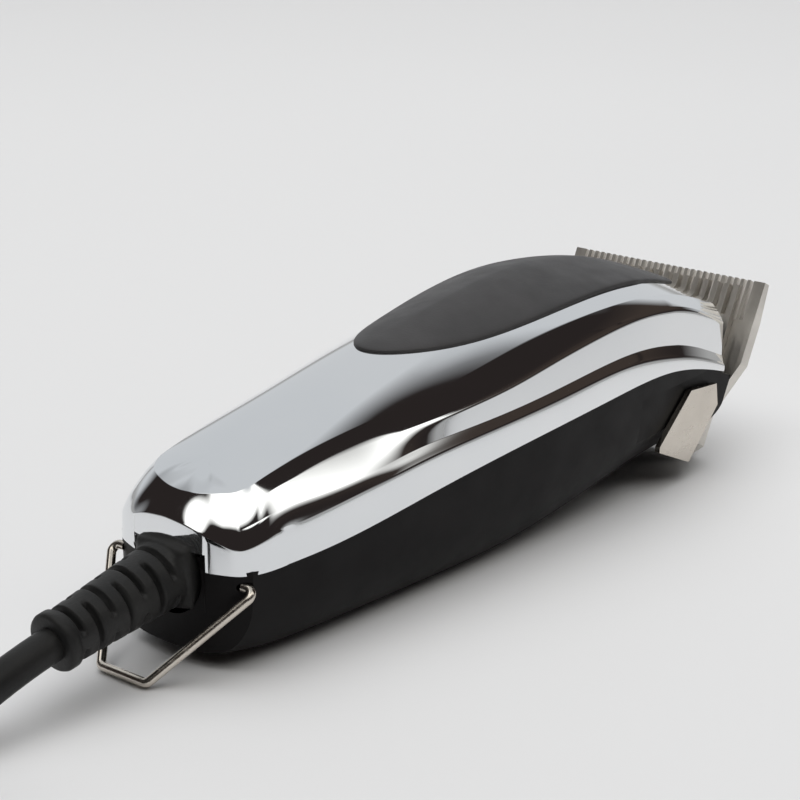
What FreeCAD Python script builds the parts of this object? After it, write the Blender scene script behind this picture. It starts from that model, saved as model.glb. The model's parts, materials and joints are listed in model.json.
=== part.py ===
"""Corded hair clipper with a magnetic vibrator motor, lying on its bottom housing.

Frame: millimetres, +Z up, +X towards the blades, +Y to the left.  The origin is on the table,
below the middle of the clipper's box (the cord and what is on it left out).
"""
import FreeCAD, Part
import math
import os
import Sketcher
from FreeCAD import Placement, Rotation, Vector

doc = FreeCAD.newDocument("hair_clipper")

# ---------------------------------------------------------------- driving dimensions
SIZES = {
    # blades, in their own leaning frame: tips at the front, heel at the back
    "tip_forward": 81.0, "tip_height": 33.8, "blade_angle": 61.1, "tip_bevel": 1.2,
    "bevel_run": 8.0, "blade_width": 46.4, "blade_length": 37.2, "blade_thick": 3.0,
    "heel_width": 38.0, "tooth_pitch": 1.5, "tooth_gap": 0.75, "tooth_gaps": 28,
    "tooth_length": 8.5, "moving_width": 37.2, "moving_thick": 1.6, "moving_heel": 21.0,
    "moving_pitch": 2.4, "moving_gap": 1.2, "moving_gaps": 15, "moving_tooth": 6.5,
    "moving_setback": 1.8, "slide_gap": 0.06, "finger_width": 5.8, "finger_long": 4.0,
    "blade_screw_apart": 22.0, "blade_screw_up": 30.5, "blade_screw_radius": 1.5,
    # shells
    "rear_end": -69.5, "shell_wall": 2.2, "seam_gap": 0.05, "pad_depth": 1.0, "pad_rise": 0.3,
    "pad_middle": 28.0, "pad_half_length": 48.0, "pad_half_width": 14.0,
    "land_rear": -53.0, "land_front": 7.0, "land_half": 7.5, "land_rise": 0.35,
    # taper lever and its eccentric
    "lever_pivot_x": 57.0, "lever_pivot_z": 16.0, "lever_side": 22.1, "lever_thick": 1.1,
    "lever_ahead": 4.8, "lever_reach": 16.7, "lever_above": 4.6, "lever_below": 6.4,
    "lever_droop": 40.0, "lever_swing": 35.0, "rivet_radius": 1.2, "rivet_cover": 0.4,
    "taper_travel": 1.4, "shaft_radius": 2.0, "throw_pin_radius": 1.2,
    # motor
    "core_front": 35.0, "core_rear": -5.0, "core_low": 14.0, "core_high": 30.0,
    "core_back": -18.0, "core_face": -2.5, "yoke_thick": 5.0, "leg_thick": 7.0,
    "window_long": 8.5, "air_gap": 1.5, "pole_thick": 4.0, "pivot_x": -24.0, "pivot_y": 4.5,
    "pivot_radius": 1.5, "arm_thick": 3.0, "arm_low": 18.0, "arm_high": 24.0,
    "spring_x": -37.0, "spring_z": 12.0, "spring_radius": 2.0, "spring_wire": 0.6,
    # switch
    "switch_x": 0.0, "switch_z": 12.5, "switch_travel": 4.0,
    # hang hook
    "hook_x": -66.0, "hook_z": 15.0, "hook_half": 16.5, "hook_tip_half": 5.2,
    "hook_reach": 14.2, "hook_drop": 14.0, "hook_wire": 1.6, "hook_bend": 1.2,
    # strain relief and cord
    "boot_z": 15.4, "boot_long": 25.5, "boot_root": 5.7, "boot_end": 4.4, "collar_radius": 6.9,
    "boot_slope": 8.3, "boot_grooves": 5, "groove_deep": 0.8, "groove_wide": 0.9,
    "groove_first": 5.6, "groove_pitch": 3.1, "cord_size": 5.7, "tail_bend": 28.5,
    # hank of the put-away cord
    "hank_near": -140.0, "hank_fold": 34.2, "hank_run": 100.0, "hank_layers": 4,
    "hank_pitch": 5.8, "hank_lift": 0.9, "tie_x": -190.0, "tie_wide": 12.0, "tie_thick": 0.8,
    "plug_rear": -178.0, "plug_front": -142.5, "plug_half": 17.6, "plug_thick": 13.7,
    "pin_radius": 2.0, "pin_long": 17.0, "pin_half": 9.5,
}
sheet = doc.addObject("Spreadsheet::Sheet", "Sizes")
for row, (alias, number) in enumerate(SIZES.items(), start=1):
    sheet.set("A%d" % row, alias.replace("_", " "))
    sheet.set("B%d" % row, str(number))
    sheet.setAlias("B%d" % row, alias)
doc.recompute()

finished = []


def size(alias):
    """One driving dimension, read from the sheet."""
    return float(sheet.get(alias))


def value(expression):
    """A number worked out from the sheet by an expression."""
    return float(sheet.evalExpression(expression))


def short(expression):
    """An expression with Sizes. written before each alias in braces: {a} + 1."""
    return expression.replace("{", "Sizes.").replace("}", "")


def finish(obj, label, place=None):
    """Name a sub-part and give it its place."""
    obj.Label = label
    if place is not None:
        obj.Placement = place
    finished.append(obj)
    return obj


# ---------------------------------------------------------------- building blocks
def primitive(kind, name, place=None, **sizes):
    """A Part primitive whose sizes are bound to the sheet."""
    obj = doc.addObject("Part::" + kind, name)
    for prop, expression in sizes.items():
        obj.setExpression(prop, short(expression))
    if place is not None:
        obj.Placement = place
    return obj


def block(name, low, high):
    """A box between two corners given as expressions."""
    obj = doc.addObject("Part::Box", name)
    for prop, a, b in zip(("Length", "Width", "Height"), low, high):
        obj.setExpression(prop, short("(%s) - (%s)" % (b, a)))
    for prop, a in zip("xyz", low):
        obj.setExpression("Placement.Base." + prop, short(a))
    return obj


def rod(name, radius, start, along, length):
    """A cylinder from a point along a direction."""
    place = Placement(start, Rotation(Vector(0, 0, 1), along))
    return primitive("Cylinder", name, place, Radius=radius, Height=length)


def fuse(name, shapes):
    obj = doc.addObject("Part::MultiFuse", name)
    obj.Shapes = shapes
    return obj


def cut(name, base, tool):
    obj = doc.addObject("Part::Cut", name)
    obj.Base = base
    obj.Tool = tool
    return obj


def group(name, shapes):
    obj = doc.addObject("Part::Compound", name)
    obj.Links = shapes
    return obj


def plane(body, role):
    return [f for f in body.Origin.OriginFeatures if f.Role == role][0]


def outline(body, name, role, corners, offset=0.0):
    """A closed sketch of straight lines whose corners are bound to the sheet."""
    sketch = body.newObject("Sketcher::SketchObject", name)
    sketch.AttachmentSupport = [(plane(body, role), "")]
    sketch.MapMode = "FlatFace"
    sketch.AttachmentOffset = Placement(Vector(0, 0, offset), Rotation())
    corners = [(short(a), short(b)) for a, b in corners]
    points = [Vector(value(a), value(b), 0) for a, b in corners]
    for i, point in enumerate(points):
        sketch.addGeometry(Part.LineSegment(point, points[(i + 1) % len(points)]), False)
    for i in range(len(points)):
        sketch.addConstraint(Sketcher.Constraint("Coincident", i, 2, (i + 1) % len(points), 1))
    for i, (corner, point) in enumerate(zip(corners, points)):
        for kind, expression, number in zip(("DistanceX", "DistanceY"), corner, point):
            index = sketch.addConstraint(Sketcher.Constraint(kind, -1, 1, i, 1, number))
            sketch.renameConstraint(index, "corner%d%s" % (i, kind[-1]))
            sketch.setExpression("Constraints.corner%d%s" % (i, kind[-1]), expression)
    return sketch


def circle(body, name, role, across, up, radius, offset=0.0):
    """A sketch of one circle, its place and radius bound to the sheet."""
    sketch = body.newObject("Sketcher::SketchObject", name)
    sketch.AttachmentSupport = [(plane(body, role), "")]
    sketch.MapMode = "FlatFace"
    sketch.AttachmentOffset = Placement(Vector(0, 0, offset), Rotation())
    terms = [short(e) for e in (across, up, radius)]
    numbers = [value(e) for e in terms]
    centre = Vector(numbers[0], numbers[1], 0)
    sketch.addGeometry(Part.Circle(centre, Vector(0, 0, 1), numbers[2]), False)
    for kind, expression, number in zip(("DistanceX", "DistanceY"), terms, numbers):
        index = sketch.addConstraint(Sketcher.Constraint(kind, -1, 1, 0, 3, number))
        sketch.renameConstraint(index, "middle" + kind[-1])
        sketch.setExpression("Constraints.middle" + kind[-1], expression)
    index = sketch.addConstraint(Sketcher.Constraint("Radius", 0, numbers[2]))
    sketch.renameConstraint(index, "radius")
    sketch.setExpression("Constraints.radius", terms[2])
    return sketch


def pad(body, name, sketch, length, both_ways=False):
    feature = body.newObject("PartDesign::Pad", name)
    feature.Profile = sketch
    feature.setExpression("Length", short(length))
    feature.Midplane = both_ways
    return feature


def pocket(body, name, sketch, length, reverse=True, both_ways=False):
    """A pocket; the solid lies on the side that the sketch looks to, so it is reversed."""
    before = body.Shape.Volume
    feature = body.newObject("PartDesign::Pocket", name)
    feature.Profile = sketch
    feature.setExpression("Length", short(length))
    feature.Midplane = both_ways
    feature.Reversed = reverse and not both_ways
    doc.recompute()
    if not feature.Shape.Volume < before - 1e-6:
        raise RuntimeError(name + " cuts nothing")
    return feature


def new_body(name):
    return doc.addObject("PartDesign::Body", name)


# ---------------------------------------------------------------- blade frame
BLADE = Placement(
    Vector(
        size("tip_forward") + size("tip_bevel") * math.sin(math.radians(size("blade_angle"))),
        0,
        size("tip_height") - size("tip_bevel") * math.cos(math.radians(size("blade_angle"))),
    ),
    Rotation(Vector(0, 1, 0), -size("blade_angle")),
)
ALONG = BLADE.Rotation.multVec(Vector(1, 0, 0))
INWARD = BLADE.Rotation.multVec(Vector(0, 0, 1))


def on_blade(up, left, inward):
    """A point of the blade frame in the clipper's frame."""
    return BLADE.multVec(Vector(up, left, inward))


def comb_gaps(body, blade_role, first, width, length, pitch, number, depth):
    """The gaps between teeth: one pocket, repeated across the blade."""
    corners = [("-(%s)" % length, first), ("0.5", first),
               ("0.5", "(%s) + %s" % (first, width)), ("-(%s)" % length, "(%s) + %s" % (first, width))]
    sketch = outline(body, "gap_outline", blade_role, corners)
    doc.recompute()
    gap = pocket(body, "gap", sketch, depth)
    teeth = body.newObject("PartDesign::LinearPattern", "teeth")
    teeth.Originals = [gap]
    teeth.Direction = (sketch, ["V_Axis"])
    teeth.setExpression("Length", short("%s * (%s - 1)" % (pitch, number)))
    teeth.setExpression("Occurrences", short(number))
    body.Tip = teeth
    doc.recompute()
    if not teeth.Shape.Volume < gap.Shape.Volume - 1e-6:
        raise RuntimeError("the teeth pattern cuts nothing")


def stationary_blade():
    """Lower blade: a plate with fine teeth, two broad end teeth and a bevelled tip."""
    body = new_body("stationary_blade_body")
    half, heel, long = "{blade_width} / 2", "{heel_width} / 2", "{blade_length}"
    side = [("0", half), ("-1.2 * {tooth_length} - 7", half), ("-0.76 * %s" % long, heel),
            ("-%s + 2" % long, heel), ("-" + long, "%s - 2" % heel)]
    corners = side + [(a, "-(%s)" % b) for a, b in reversed(side)]
    pad(body, "plate", outline(body, "plate_outline", "XY_Plane", corners), "{blade_thick}")
    doc.recompute()
    bevel = outline(body, "bevel_outline", "XZ_Plane",
                    [("-{bevel_run}", "0"), ("-{bevel_run}", "-1"), ("1", "-1"),
                     ("1", "{tip_bevel} * (1 + 1 / {bevel_run})")])
    pocket(body, "bevel", bevel, "{blade_width} + 4", both_ways=True)
    for left in ("", "-"):
        hole = circle(body, "hole" + ("_right" if left else "_left"), "XY_Plane",
                      "-{blade_screw_up}", left + "{blade_screw_apart} / 2",
                      "{blade_screw_radius} + 0.1")
        pocket(body, "screw_hole" + ("_right" if left else "_left"), hole, "{blade_thick}")
    first = "-({tooth_gaps} * {tooth_pitch} - {tooth_gap}) / 2"
    comb_gaps(body, "XY_Plane", first, "{tooth_gap}", "{tooth_length}", "{tooth_pitch}",
              "{tooth_gaps}", "{blade_thick}")
    return finish(body, "stationary_blade", BLADE)


def moving_blade():
    """Upper blade: coarser teeth, and a slot that the drive finger pushes."""
    body = new_body("moving_blade_body")
    half = "{moving_width} / 2"
    tip, heel = "-{moving_setback}", "-{moving_heel}"
    # drawn from its own tip line, so that the gaps start at 0
    side = [("0", half), (heel + " + {moving_setback} + 3", half),
            (heel + " + {moving_setback}", "%s - 4" % half)]
    corners = side + [(a, "-(%s)" % b) for a, b in reversed(side)]
    pad(body, "plate", outline(body, "plate_outline", "XY_Plane", corners), "{moving_thick}")
    doc.recompute()
    middle = "-14 - {taper_travel} / 2 + {moving_setback}"
    room, play = "({finger_long} + {taper_travel} + 0.6) / 2", "{finger_width} / 2 + 0.12"
    slot = outline(body, "slot_outline", "XY_Plane",
                   [("%s - %s" % (middle, room), "-(%s)" % play),
                    ("%s + %s" % (middle, room), "-(%s)" % play),
                    ("%s + %s" % (middle, room), play), ("%s - %s" % (middle, room), play)])
    pocket(body, "finger_slot", slot, "{moving_thick}")
    first = "-({moving_gaps} * {moving_pitch} - {moving_gap}) / 2"
    comb_gaps(body, "XY_Plane", first, "{moving_gap}", "{moving_tooth}", "{moving_pitch}",
              "{moving_gaps}", "{moving_thick}")
    start = Vector(value(short(tip)), 0, value(short("{blade_thick} + {slide_gap}")))
    return finish(body, "moving_blade", BLADE.multiply(Placement(start, Rotation())))


def blade_screws():
    """Two countersunk screws that hold the stationary blade on the bottom housing."""
    screws = []
    for left in (1, -1):
        tag = "left" if left > 0 else "right"
        start = on_blade(-size("blade_screw_up"), left * size("blade_screw_apart") / 2, 0)
        head = rod("blade_screw_head_" + tag, "{blade_screw_radius} + 1.3",
                   start - INWARD * 0.7, INWARD, "0.68")
        shank = rod("blade_screw_shank_" + tag, "{blade_screw_radius}",
                    start - INWARD * 0.1, INWARD, "9")
        slot = primitive("Box", "blade_screw_slot_" + tag, None, Length="6", Width="0.7", Height="0.5")
        slot.Placement = Placement(start - INWARD * 0.75, BLADE.Rotation).multiply(
            Placement(Vector(-3, -0.35, 0), Rotation()))
        screws.append(cut("blade_screw_" + tag, fuse("blade_screw_blank_" + tag, [head, shank]), slot))
    return finish(group("blade_screws_pair", screws), "blade_screws")


# ---------------------------------------------------------------- shells
# One row per station along the body: x, half width, bottom, seam, top of the side band,
# shoulder and top of the back.  Everything between them is a smooth curve.
STATIONS = (
    (-72.0, 13.8, 3.6, 17.2, 21.0, 25.6, 28.8),
    (-50.0, 17.0, 0.0, 17.6, 24.3, 31.3, 34.3),
    (-25.0, 19.4, -0.6, 20.3, 27.0, 35.0, 39.2),
    (0.0, 21.3, -0.6, 22.7, 30.8, 37.8, 43.6),
    (25.0, 22.7, 2.4, 24.5, 33.0, 39.4, 45.4),
    (45.0, 23.1, 5.0, 24.6, 31.3, 38.6, 43.0),
    (60.0, 22.7, 5.0, 21.2, 25.7, 35.0, 38.2),
    (78.0, 21.8, 5.0, 14.8, 17.5, 28.5, 31.2),
)


def upper_points(station, inset):
    """Right half of the top cover's section, from the seam up to the middle of the back."""
    _, wide, _, seam, band, shoulder, top = station
    return [
        (wide - inset, seam),
        (wide - 0.15 - inset, 0.5 * (seam + band)),
        (wide - 0.6 - inset, band),
        (0.93 * wide - inset, band + 0.5 * (shoulder - band)),
        (0.80 * wide - 0.8 * inset, shoulder - 0.5 * inset),
        (0.45 * wide, top - 0.2 * (top - shoulder) - inset),
        (0.0, top - inset),
    ]


def lower_points(station, inset):
    """Right half of the bottom housing's section, from the seam down to the middle."""
    _, wide, bottom, seam, _, _, _ = station
    deep = seam - bottom
    return [
        (wide - 0.1 - inset, seam),
        (0.985 * wide - inset, seam - 0.35 * deep),
        (0.93 * wide - inset, seam - 0.65 * deep),
        (0.75 * wide - 0.7 * inset, bottom + 0.10 * deep + 0.7 * inset),
        (0.42 * wide, bottom + 0.012 * deep + inset),
        (0.0, bottom + inset),
    ]


def half_loft(section, inset):
    """The solid between the seam and the curved outside, lofted over the stations."""
    wires = []
    for station in STATIONS:
        half = section(station, inset)
        ring = [Vector(station[0], -y, z) for y, z in half]
        ring += [Vector(station[0], y, z) for y, z in reversed(half[:-1])]
        steps = len(ring) - 1
        curve = Part.BSplineCurve()
        curve.interpolate(Points=ring, Parameters=[i / steps for i in range(steps + 1)])
        lid = Part.makeLine(ring[-1], ring[0])
        wires.append(Part.Wire([curve.toShape(), lid]))
    return Part.makeLoft(wires, True, False)


def plan_prism(back, shrink=0.0):
    """An upright prism with the body's rounded rear end; it cuts the lofts off there."""
    rear = size("rear_end") + back
    points = [(rear + 14, 19 - shrink), (rear + 3.2, 13.6 - shrink), (rear + 0.6, 8 - shrink), (rear, 0),
              (rear + 0.6, -8 + shrink), (rear + 3.2, -13.6 + shrink), (rear + 14, -19 + shrink)]
    curve = Part.BSplineCurve()
    curve.interpolate([Vector(x, y, -10) for x, y in points])
    ends = [Vector(points[-1][0], -40, -10), Vector(95, -40, -10), Vector(95, 40, -10),
            Vector(points[0][0], 40, -10)]
    path = [Vector(points[-1][0], points[-1][1], -10)] + ends + [Vector(points[0][0], points[0][1], -10)]
    lines = [Part.makeLine(a, b) for a, b in zip(path, path[1:])]
    return Part.Face(Part.Wire([curve.toShape()] + lines)).extrude(Vector(0, 0, 80))


def blade_box(low, high):
    """A box in the blade frame, from its low corner to its high corner (up, left, inward)."""
    box = Part.makeBox(high[0] - low[0], high[1] - low[1], high[2] - low[2], Vector(*low))
    box.Placement = BLADE.multiply(box.Placement)
    return box


def front_space(inward_low, inward_high):
    """What lies in front of a cover's front edge, its plane given by two depths."""
    low, high = on_blade(-45, 0, inward_low), on_blade(20, 0, inward_high)
    far = Vector(120, 0, 0)
    corners = [low, high, high + far, low + far, low]
    face = Part.Face(Part.makePolygon([Vector(p.x, -40, p.z) for p in corners]))
    return face.extrude(Vector(0, 80, 0))


def pad_prism(shrink):
    """Upright oval prism of the grip pad's outline."""
    oval = Part.Ellipse(Vector(size("pad_middle"), 0, 20), size("pad_half_length") - shrink,
                        size("pad_half_width") - shrink)
    return Part.Face(Part.Wire([oval.toShape()])).extrude(Vector(0, 0, 40))


def lifted(shape, rise):
    moved = shape.copy()
    moved.translate(Vector(0, 0, rise))
    return moved


def upright(x, y, low, high, radius):
    return Part.makeCylinder(radius, high - low, Vector(x, y, low))


COVER_SCREWS = ((-52.0, 0.0), (43.0, 14.5), (43.0, -14.5))
COVER_FRONT = (6.3, 10.4)
HOUSING_FRONT = size("blade_thick") + 0.02


def rear_opening():
    """The hole in the rear wall that the strain relief's root passes through."""
    opening = Part.makeCylinder(size("collar_radius") + 0.3, 14, Vector(-8, 0, 0), Vector(1, 0, 0))
    opening.Placement = boot_frame()
    return opening


def rear_bevel(inset):
    """A leaning box over the rear bevel of the top cover."""
    box = Part.makeBox(30, 60, 30, Vector(0, -30, 0))
    corner = Vector(size("rear_end") - 0.2, 0, 24.7 - 0.7 * inset)
    lean = Placement(corner, Rotation(Vector(0, 1, 0), -46))
    lean.Base += Vector(0.7 * inset, 0, -0.7 * inset)
    box.Placement = lean.multiply(box.Placement)
    return box


def top_cover():
    """Chrome shell: side bands, crowned back, bevelled rear end, pad recess, rear notch."""
    wall, gap = size("shell_wall"), size("seam_gap")
    outside = lifted(half_loft(upper_points, 0.0), gap).common(plan_prism(0.0)).cut(rear_bevel(0.0))
    inside = half_loft(upper_points, wall).common(plan_prism(wall, 0.4)).cut(rear_bevel(wall))
    shell = outside.cut(inside)
    bosses = [upright(x, y, 25.5 if x > 0 else 19.5, 36 if x > 0 else 33, 3.4) for x, y in COVER_SCREWS]
    kept = [boss.common(outside) for boss in bosses]
    shell = shell.fuse(kept)
    shell = shell.cut([upright(x, y, 10, 33 if x > 0 else 28.5, 1.0) for x, y in COVER_SCREWS])
    recess = pad_prism(0.0).cut(lifted(half_loft(upper_points, 0.0), -size("pad_depth")))
    notch = Part.makeBox(8, 16, 12, Vector(size("rear_end") - 3, -8, 8))
    shell = shell.cut([recess, front_space(*COVER_FRONT), notch, rear_opening()])
    obj = doc.addObject("Part::Feature", "top_cover_shell")
    obj.Shape = biggest(shell)
    return finish(obj, "top_cover", Placement())


def biggest(shape):
    """The main solid of a boolean's result."""
    solid = max(shape.Solids, key=lambda s: s.Volume)
    return solid.removeSplitter()


def grip_pad():
    """Soft pad: an oval patch of the back's own curve, standing slightly proud."""
    loft = half_loft(upper_points, 0.0)
    patch = pad_prism(0.12).common(lifted(loft, size("pad_rise")))
    patch = patch.cut(lifted(loft, 0.03 + size("seam_gap") - size("pad_depth")))
    patch = patch.cut(front_space(*[d + 0.1 for d in COVER_FRONT]))
    obj = doc.addObject("Part::Feature", "grip_pad_patch")
    obj.Shape = biggest(patch)
    return finish(obj, "grip_pad", Placement())


def bottom_housing():
    """Black shell: rounded belly with a flat land, blade seat, bosses, switch and lever holes."""
    wall, gap, rise = size("shell_wall"), size("seam_gap"), size("land_rise")
    outside = lifted(half_loft(lower_points, 0.0), -gap).common(plan_prism(0.0))
    outside = outside.cut(Part.makeBox(200, 100, 10 + rise, Vector(-100, -50, -10)))
    land = Part.makeBox(size("land_front") - size("land_rear"), 2 * size("land_half"), wall,
                        Vector(size("land_rear"), -size("land_half"), 0))
    inside = half_loft(lower_points, wall).common(plan_prism(wall, 0.4))
    toe = blade_box((-36.6, -18.2, HOUSING_FRONT), (-26.0, 18.2, 9.5))
    seat = blade_box((-36.0, -20.0, HOUSING_FRONT), (-25.0, 20.0, 5.8)).common(outside.fuse(toe))
    shell = outside.fuse(toe).cut(inside).fuse(seat)
    floor_posts = [
        upright(-1.5, -15.5, 2, size("core_low") - 0.02, 3.3).common(outside),
        upright(31.5, -15.5, 2, size("core_low") - 0.02, 3.3).common(outside),
        upright(size("pivot_x"), size("pivot_y"), 0.5, 14.0, 4.0).common(outside),
        Part.makeBox(4, 2.8, 15, Vector(size("spring_x") - 2, -7.0, 1)).common(outside),
    ]
    tongue = Part.makeBox(wall + 0.6, 15.6, 9.5, Vector(size("rear_end") + 0.5, -7.8, 9.9))
    screws = [upright(x, y, 0.5, 14 if x > 0 else 12, 3.6).common(outside) for x, y in COVER_SCREWS]
    shell = shell.fuse(floor_posts + screws + [tongue, land])
    holes = [front_space(HOUSING_FRONT, HOUSING_FRONT), rear_opening(),
             blade_box((-24.6, -21.0, HOUSING_FRONT - 1), (4, 21.0, 13.0))]
    holes += [upright(x, y, -1, 40, 1.7) for x, y in COVER_SCREWS]
    holes.append(upright(size("pivot_x"), size("pivot_y"), 9.0, 20, size("pivot_radius") + 0.02))
    holes += [upright(x, y, -5, 8.5 if x > 0 else 4.0, 3.0) for x, y in COVER_SCREWS]
    lever_hole = Part.makeCylinder(size("shaft_radius") + 0.08, 9,
                                   Vector(size("lever_pivot_x"), -26, size("lever_pivot_z")),
                                   Vector(0, 1, 0))
    power_hole = Part.makeCylinder(2.6, 9, Vector(size("spring_x"), 13, size("spring_z")),
                                   Vector(0, 1, 0))
    switch_hole = Part.makeBox(size("switch_travel") + 8.4, 9, 4.4,
                               Vector(size("switch_x") - size("switch_travel") / 2 - 4.2, 15.5,
                                      size("switch_z") - 2.2))
    hook_holes = Part.makeCylinder(size("hook_wire") / 2 + 0.1, 60,
                                   Vector(size("hook_x"), -30, size("hook_z")), Vector(0, 1, 0))
    lever_seat = Part.makeBox(37, 10, 22, Vector(35, -10.35 - size("lever_side") + 0.7, -1))
    holes += [lever_hole, power_hole, switch_hole, hook_holes, lever_seat]
    for side in (1, -1):
        start = on_blade(-size("blade_screw_up"), side * size("blade_screw_apart") / 2, 1)
        holes.append(Part.makeCylinder(size("blade_screw_radius") + 0.03, 12, start, INWARD))
    shell = shell.cut(holes)
    obj = doc.addObject("Part::Feature", "bottom_housing_shell")
    obj.Shape = biggest(shell)
    return finish(obj, "bottom_housing", Placement())


# ---------------------------------------------------------------- taper lever and cam follower
def throw_pin(swing):
    """Where the eccentric pin stands, as a vector from the pivot, after a swing of the lever."""
    throw = size("taper_travel") / 2 / math.sin(math.radians(size("lever_swing") / 2))
    turn = Rotation(Vector(0, 1, 0), swing - size("lever_swing") / 2)
    return turn.multVec(INWARD * throw)


def taper_lever():
    """Broad nickel-plated lever on the right side, in a shallow seat of the housing."""
    body = new_body("taper_lever_body")
    corners = [
        ("-{lever_reach} + 5.2", "-{lever_below}"),
        ("{lever_ahead} - 2.4", "-{lever_below} + 0.6"),
        ("{lever_ahead}", "-{lever_below} + 4.6"),
        ("-1.9", "{lever_above} + 0.5"),
        ("-{lever_reach} + 0.8", "{lever_above} + 0.8"),
        ("-{lever_reach}", "{lever_above}"),
    ]
    pad(body, "plate", outline(body, "plate_outline", "XZ_Plane", corners), "{lever_thick}")
    doc.recompute()
    hole = circle(body, "rivet_outline", "XZ_Plane", "0", "0", "{rivet_radius} + 0.05")
    pocket(body, "rivet_hole", hole, "{lever_thick} - {rivet_cover}")
    place = Placement(Vector(size("lever_pivot_x"), -size("lever_side"), size("lever_pivot_z")),
                      Rotation(Vector(0, 1, 0), -size("lever_droop")))
    return finish(body, "taper_lever", place)


def lever_shaft():
    """Shaft of the lever, with the eccentric pin that slides the cam follower."""
    pivot = Vector(size("lever_pivot_x"), -size("lever_side"), size("lever_pivot_z"))
    left = Vector(0, 1, 0)
    shaft = rod("lever_shaft_rod", "{shaft_radius}", pivot, left, "4.9")
    rivet = rod("lever_shaft_rivet", "{rivet_radius}",
                pivot - left * (size("lever_thick") - size("rivet_cover") - 0.05), left, "{lever_thick}")
    pin = rod("lever_shaft_pin", "{throw_pin_radius}", pivot + left * 4.8 + throw_pin(0), left, "3.2")
    web = rod("lever_shaft_web", "{shaft_radius} + 1.9", pivot + left * 3.7, left, "1.2")
    return finish(fuse("lever_shaft_whole", [shaft, rivet, web, pin]), "lever_shaft")


def cam_follower():
    """Sliding plate behind the moving blade, pushed along by the lever's eccentric pin."""
    low = "{blade_thick} + {slide_gap} + {moving_thick} + {slide_gap}"
    pivot = Vector(size("lever_pivot_x"), 0, size("lever_pivot_z"))
    pin = BLADE.inverse().multVec(pivot + throw_pin(0))
    plate = block("follower_plate", ("-22.4", "-15", low), ("-9.6", "15", low + " + 1.5"))
    tab = block("follower_tab", ("-22.4", "-13.5", "{blade_thick} + 0.2"), ("-21.15", "13.5", low + " + 1"))
    neck = block("follower_neck", ("-24.3", "-16.6", low), ("-18.6", "-14.1", "18.8"))
    foot = block("follower_foot", ("-31.4", "-16.6", "12.4"), ("-18.6", "-14.1", "18.8"))
    window = block("follower_window", ("-18.4", "-4.6", "0"), ("0", "4.6", "12"))
    slot = block("follower_slot",
                 ("%.3f - {throw_pin_radius} - 0.04" % pin.x, "-20", "%.3f - 1.9" % pin.z),
                 ("%.3f + {throw_pin_radius} + 0.04" % pin.x, "-10", "%.3f + 1.9" % pin.z))
    whole = fuse("follower_blank", [plate, tab, neck, foot])
    obj = cut("follower", whole, fuse("follower_holes", [window, slot]))
    return finish(obj, "cam_follower", BLADE)


def blade_spring():
    """Flat tension spring that holds the moving blade down through the follower."""
    low = "{blade_thick} + 2 * {slide_gap} + {moving_thick} + 1.5"
    leaf = block("leaf", ("-21.6", "-13.6", low), ("-10.2", "13.6", low + " + 0.6"))
    window = block("leaf_window", ("-18.4", "-5.2", "0"), ("-5", "5.2", "12"))
    return finish(cut("blade_spring_leaf", leaf, window), "blade_spring", BLADE)


# ---------------------------------------------------------------- motor
def stator_core():
    """Stack of E-shaped laminations: a back yoke and three legs that face the armature."""
    body = new_body("stator_core_body")
    back, face, leg = "{core_back}", "{core_face}", "{leg_thick}"
    root = "{core_back} + {yoke_thick}"
    first, last = "{core_rear}", "{core_front}"
    windows = [("%s + %s" % (first, leg), "%s + %s + {window_long}" % (first, leg)),
               ("%s - %s - {window_long}" % (last, leg), "%s - %s" % (last, leg))]
    corners = [(first, back), (last, back), (last, face)]
    for near, far in reversed(windows):
        corners += [(far, face), (far, root), (near, root), (near, face)]
    corners += [(first, face)]
    pad(body, "stack", outline(body, "stack_outline", "XY_Plane", corners), "{core_high} - {core_low}")
    doc.recompute()
    for tag, across in (("rear", first + " + 3.5"), ("front", last + " - 3.5")):
        hole = circle(body, "screw_outline_" + tag, "XY_Plane", across, back + " + 2.5", "1.7")
        pocket(body, "screw_hole_" + tag, hole, "{core_high} - {core_low}")
    return finish(body, "stator_core", Placement(Vector(0, 0, size("core_low")), Rotation()))


def coil():
    """Bobbin on the middle leg, and its winding."""
    first = "{core_rear} + {leg_thick}"
    last = "{core_front} - {leg_thick}"
    leg_first, leg_last = first + " + {window_long}", last + " - {window_long}"
    back, face = "{core_back} + {yoke_thick} + 0.1", "{core_face} - 1.6"
    low, high = "{core_low} - 6.4", "{core_high} + 6.4"
    outer = block("bobbin_outer", (first + " + 0.4", back, low), (last + " - 0.4", face, high))
    waist = block("bobbin_waist", (first, back + " + 1", low + " - 1"),
                  (last, face + " - 1", high + " + 1"))
    tube = block("bobbin_tube", (leg_first + " - 1.1", back, "{core_low} - 1.1"),
                 (leg_last + " + 1.1", face, "{core_high} + 1.1"))
    hole = block("bobbin_hole", (leg_first + " - 0.05", back + " - 1", "{core_low} - 0.05"),
                 (leg_last + " + 0.05", face + " + 1", "{core_high} + 0.05"))
    bobbin = cut("bobbin", fuse("bobbin_blank", [cut("bobbin_flanges", outer, waist), tube]), hole)
    finish(bobbin, "coil_bobbin")
    wound = block("winding_outer", (first + " + 1", back + " + 1.05", low + " + 0.6"),
                  (last + " - 1", face + " - 1.05", high + " - 0.6"))
    inner = block("winding_inner", (leg_first + " - 1.15", back, "{core_low} - 1.15"),
                  (leg_last + " + 1.15", face, "{core_high} + 1.15"))
    finish(cut("winding", wound, inner), "coil_winding")


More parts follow.
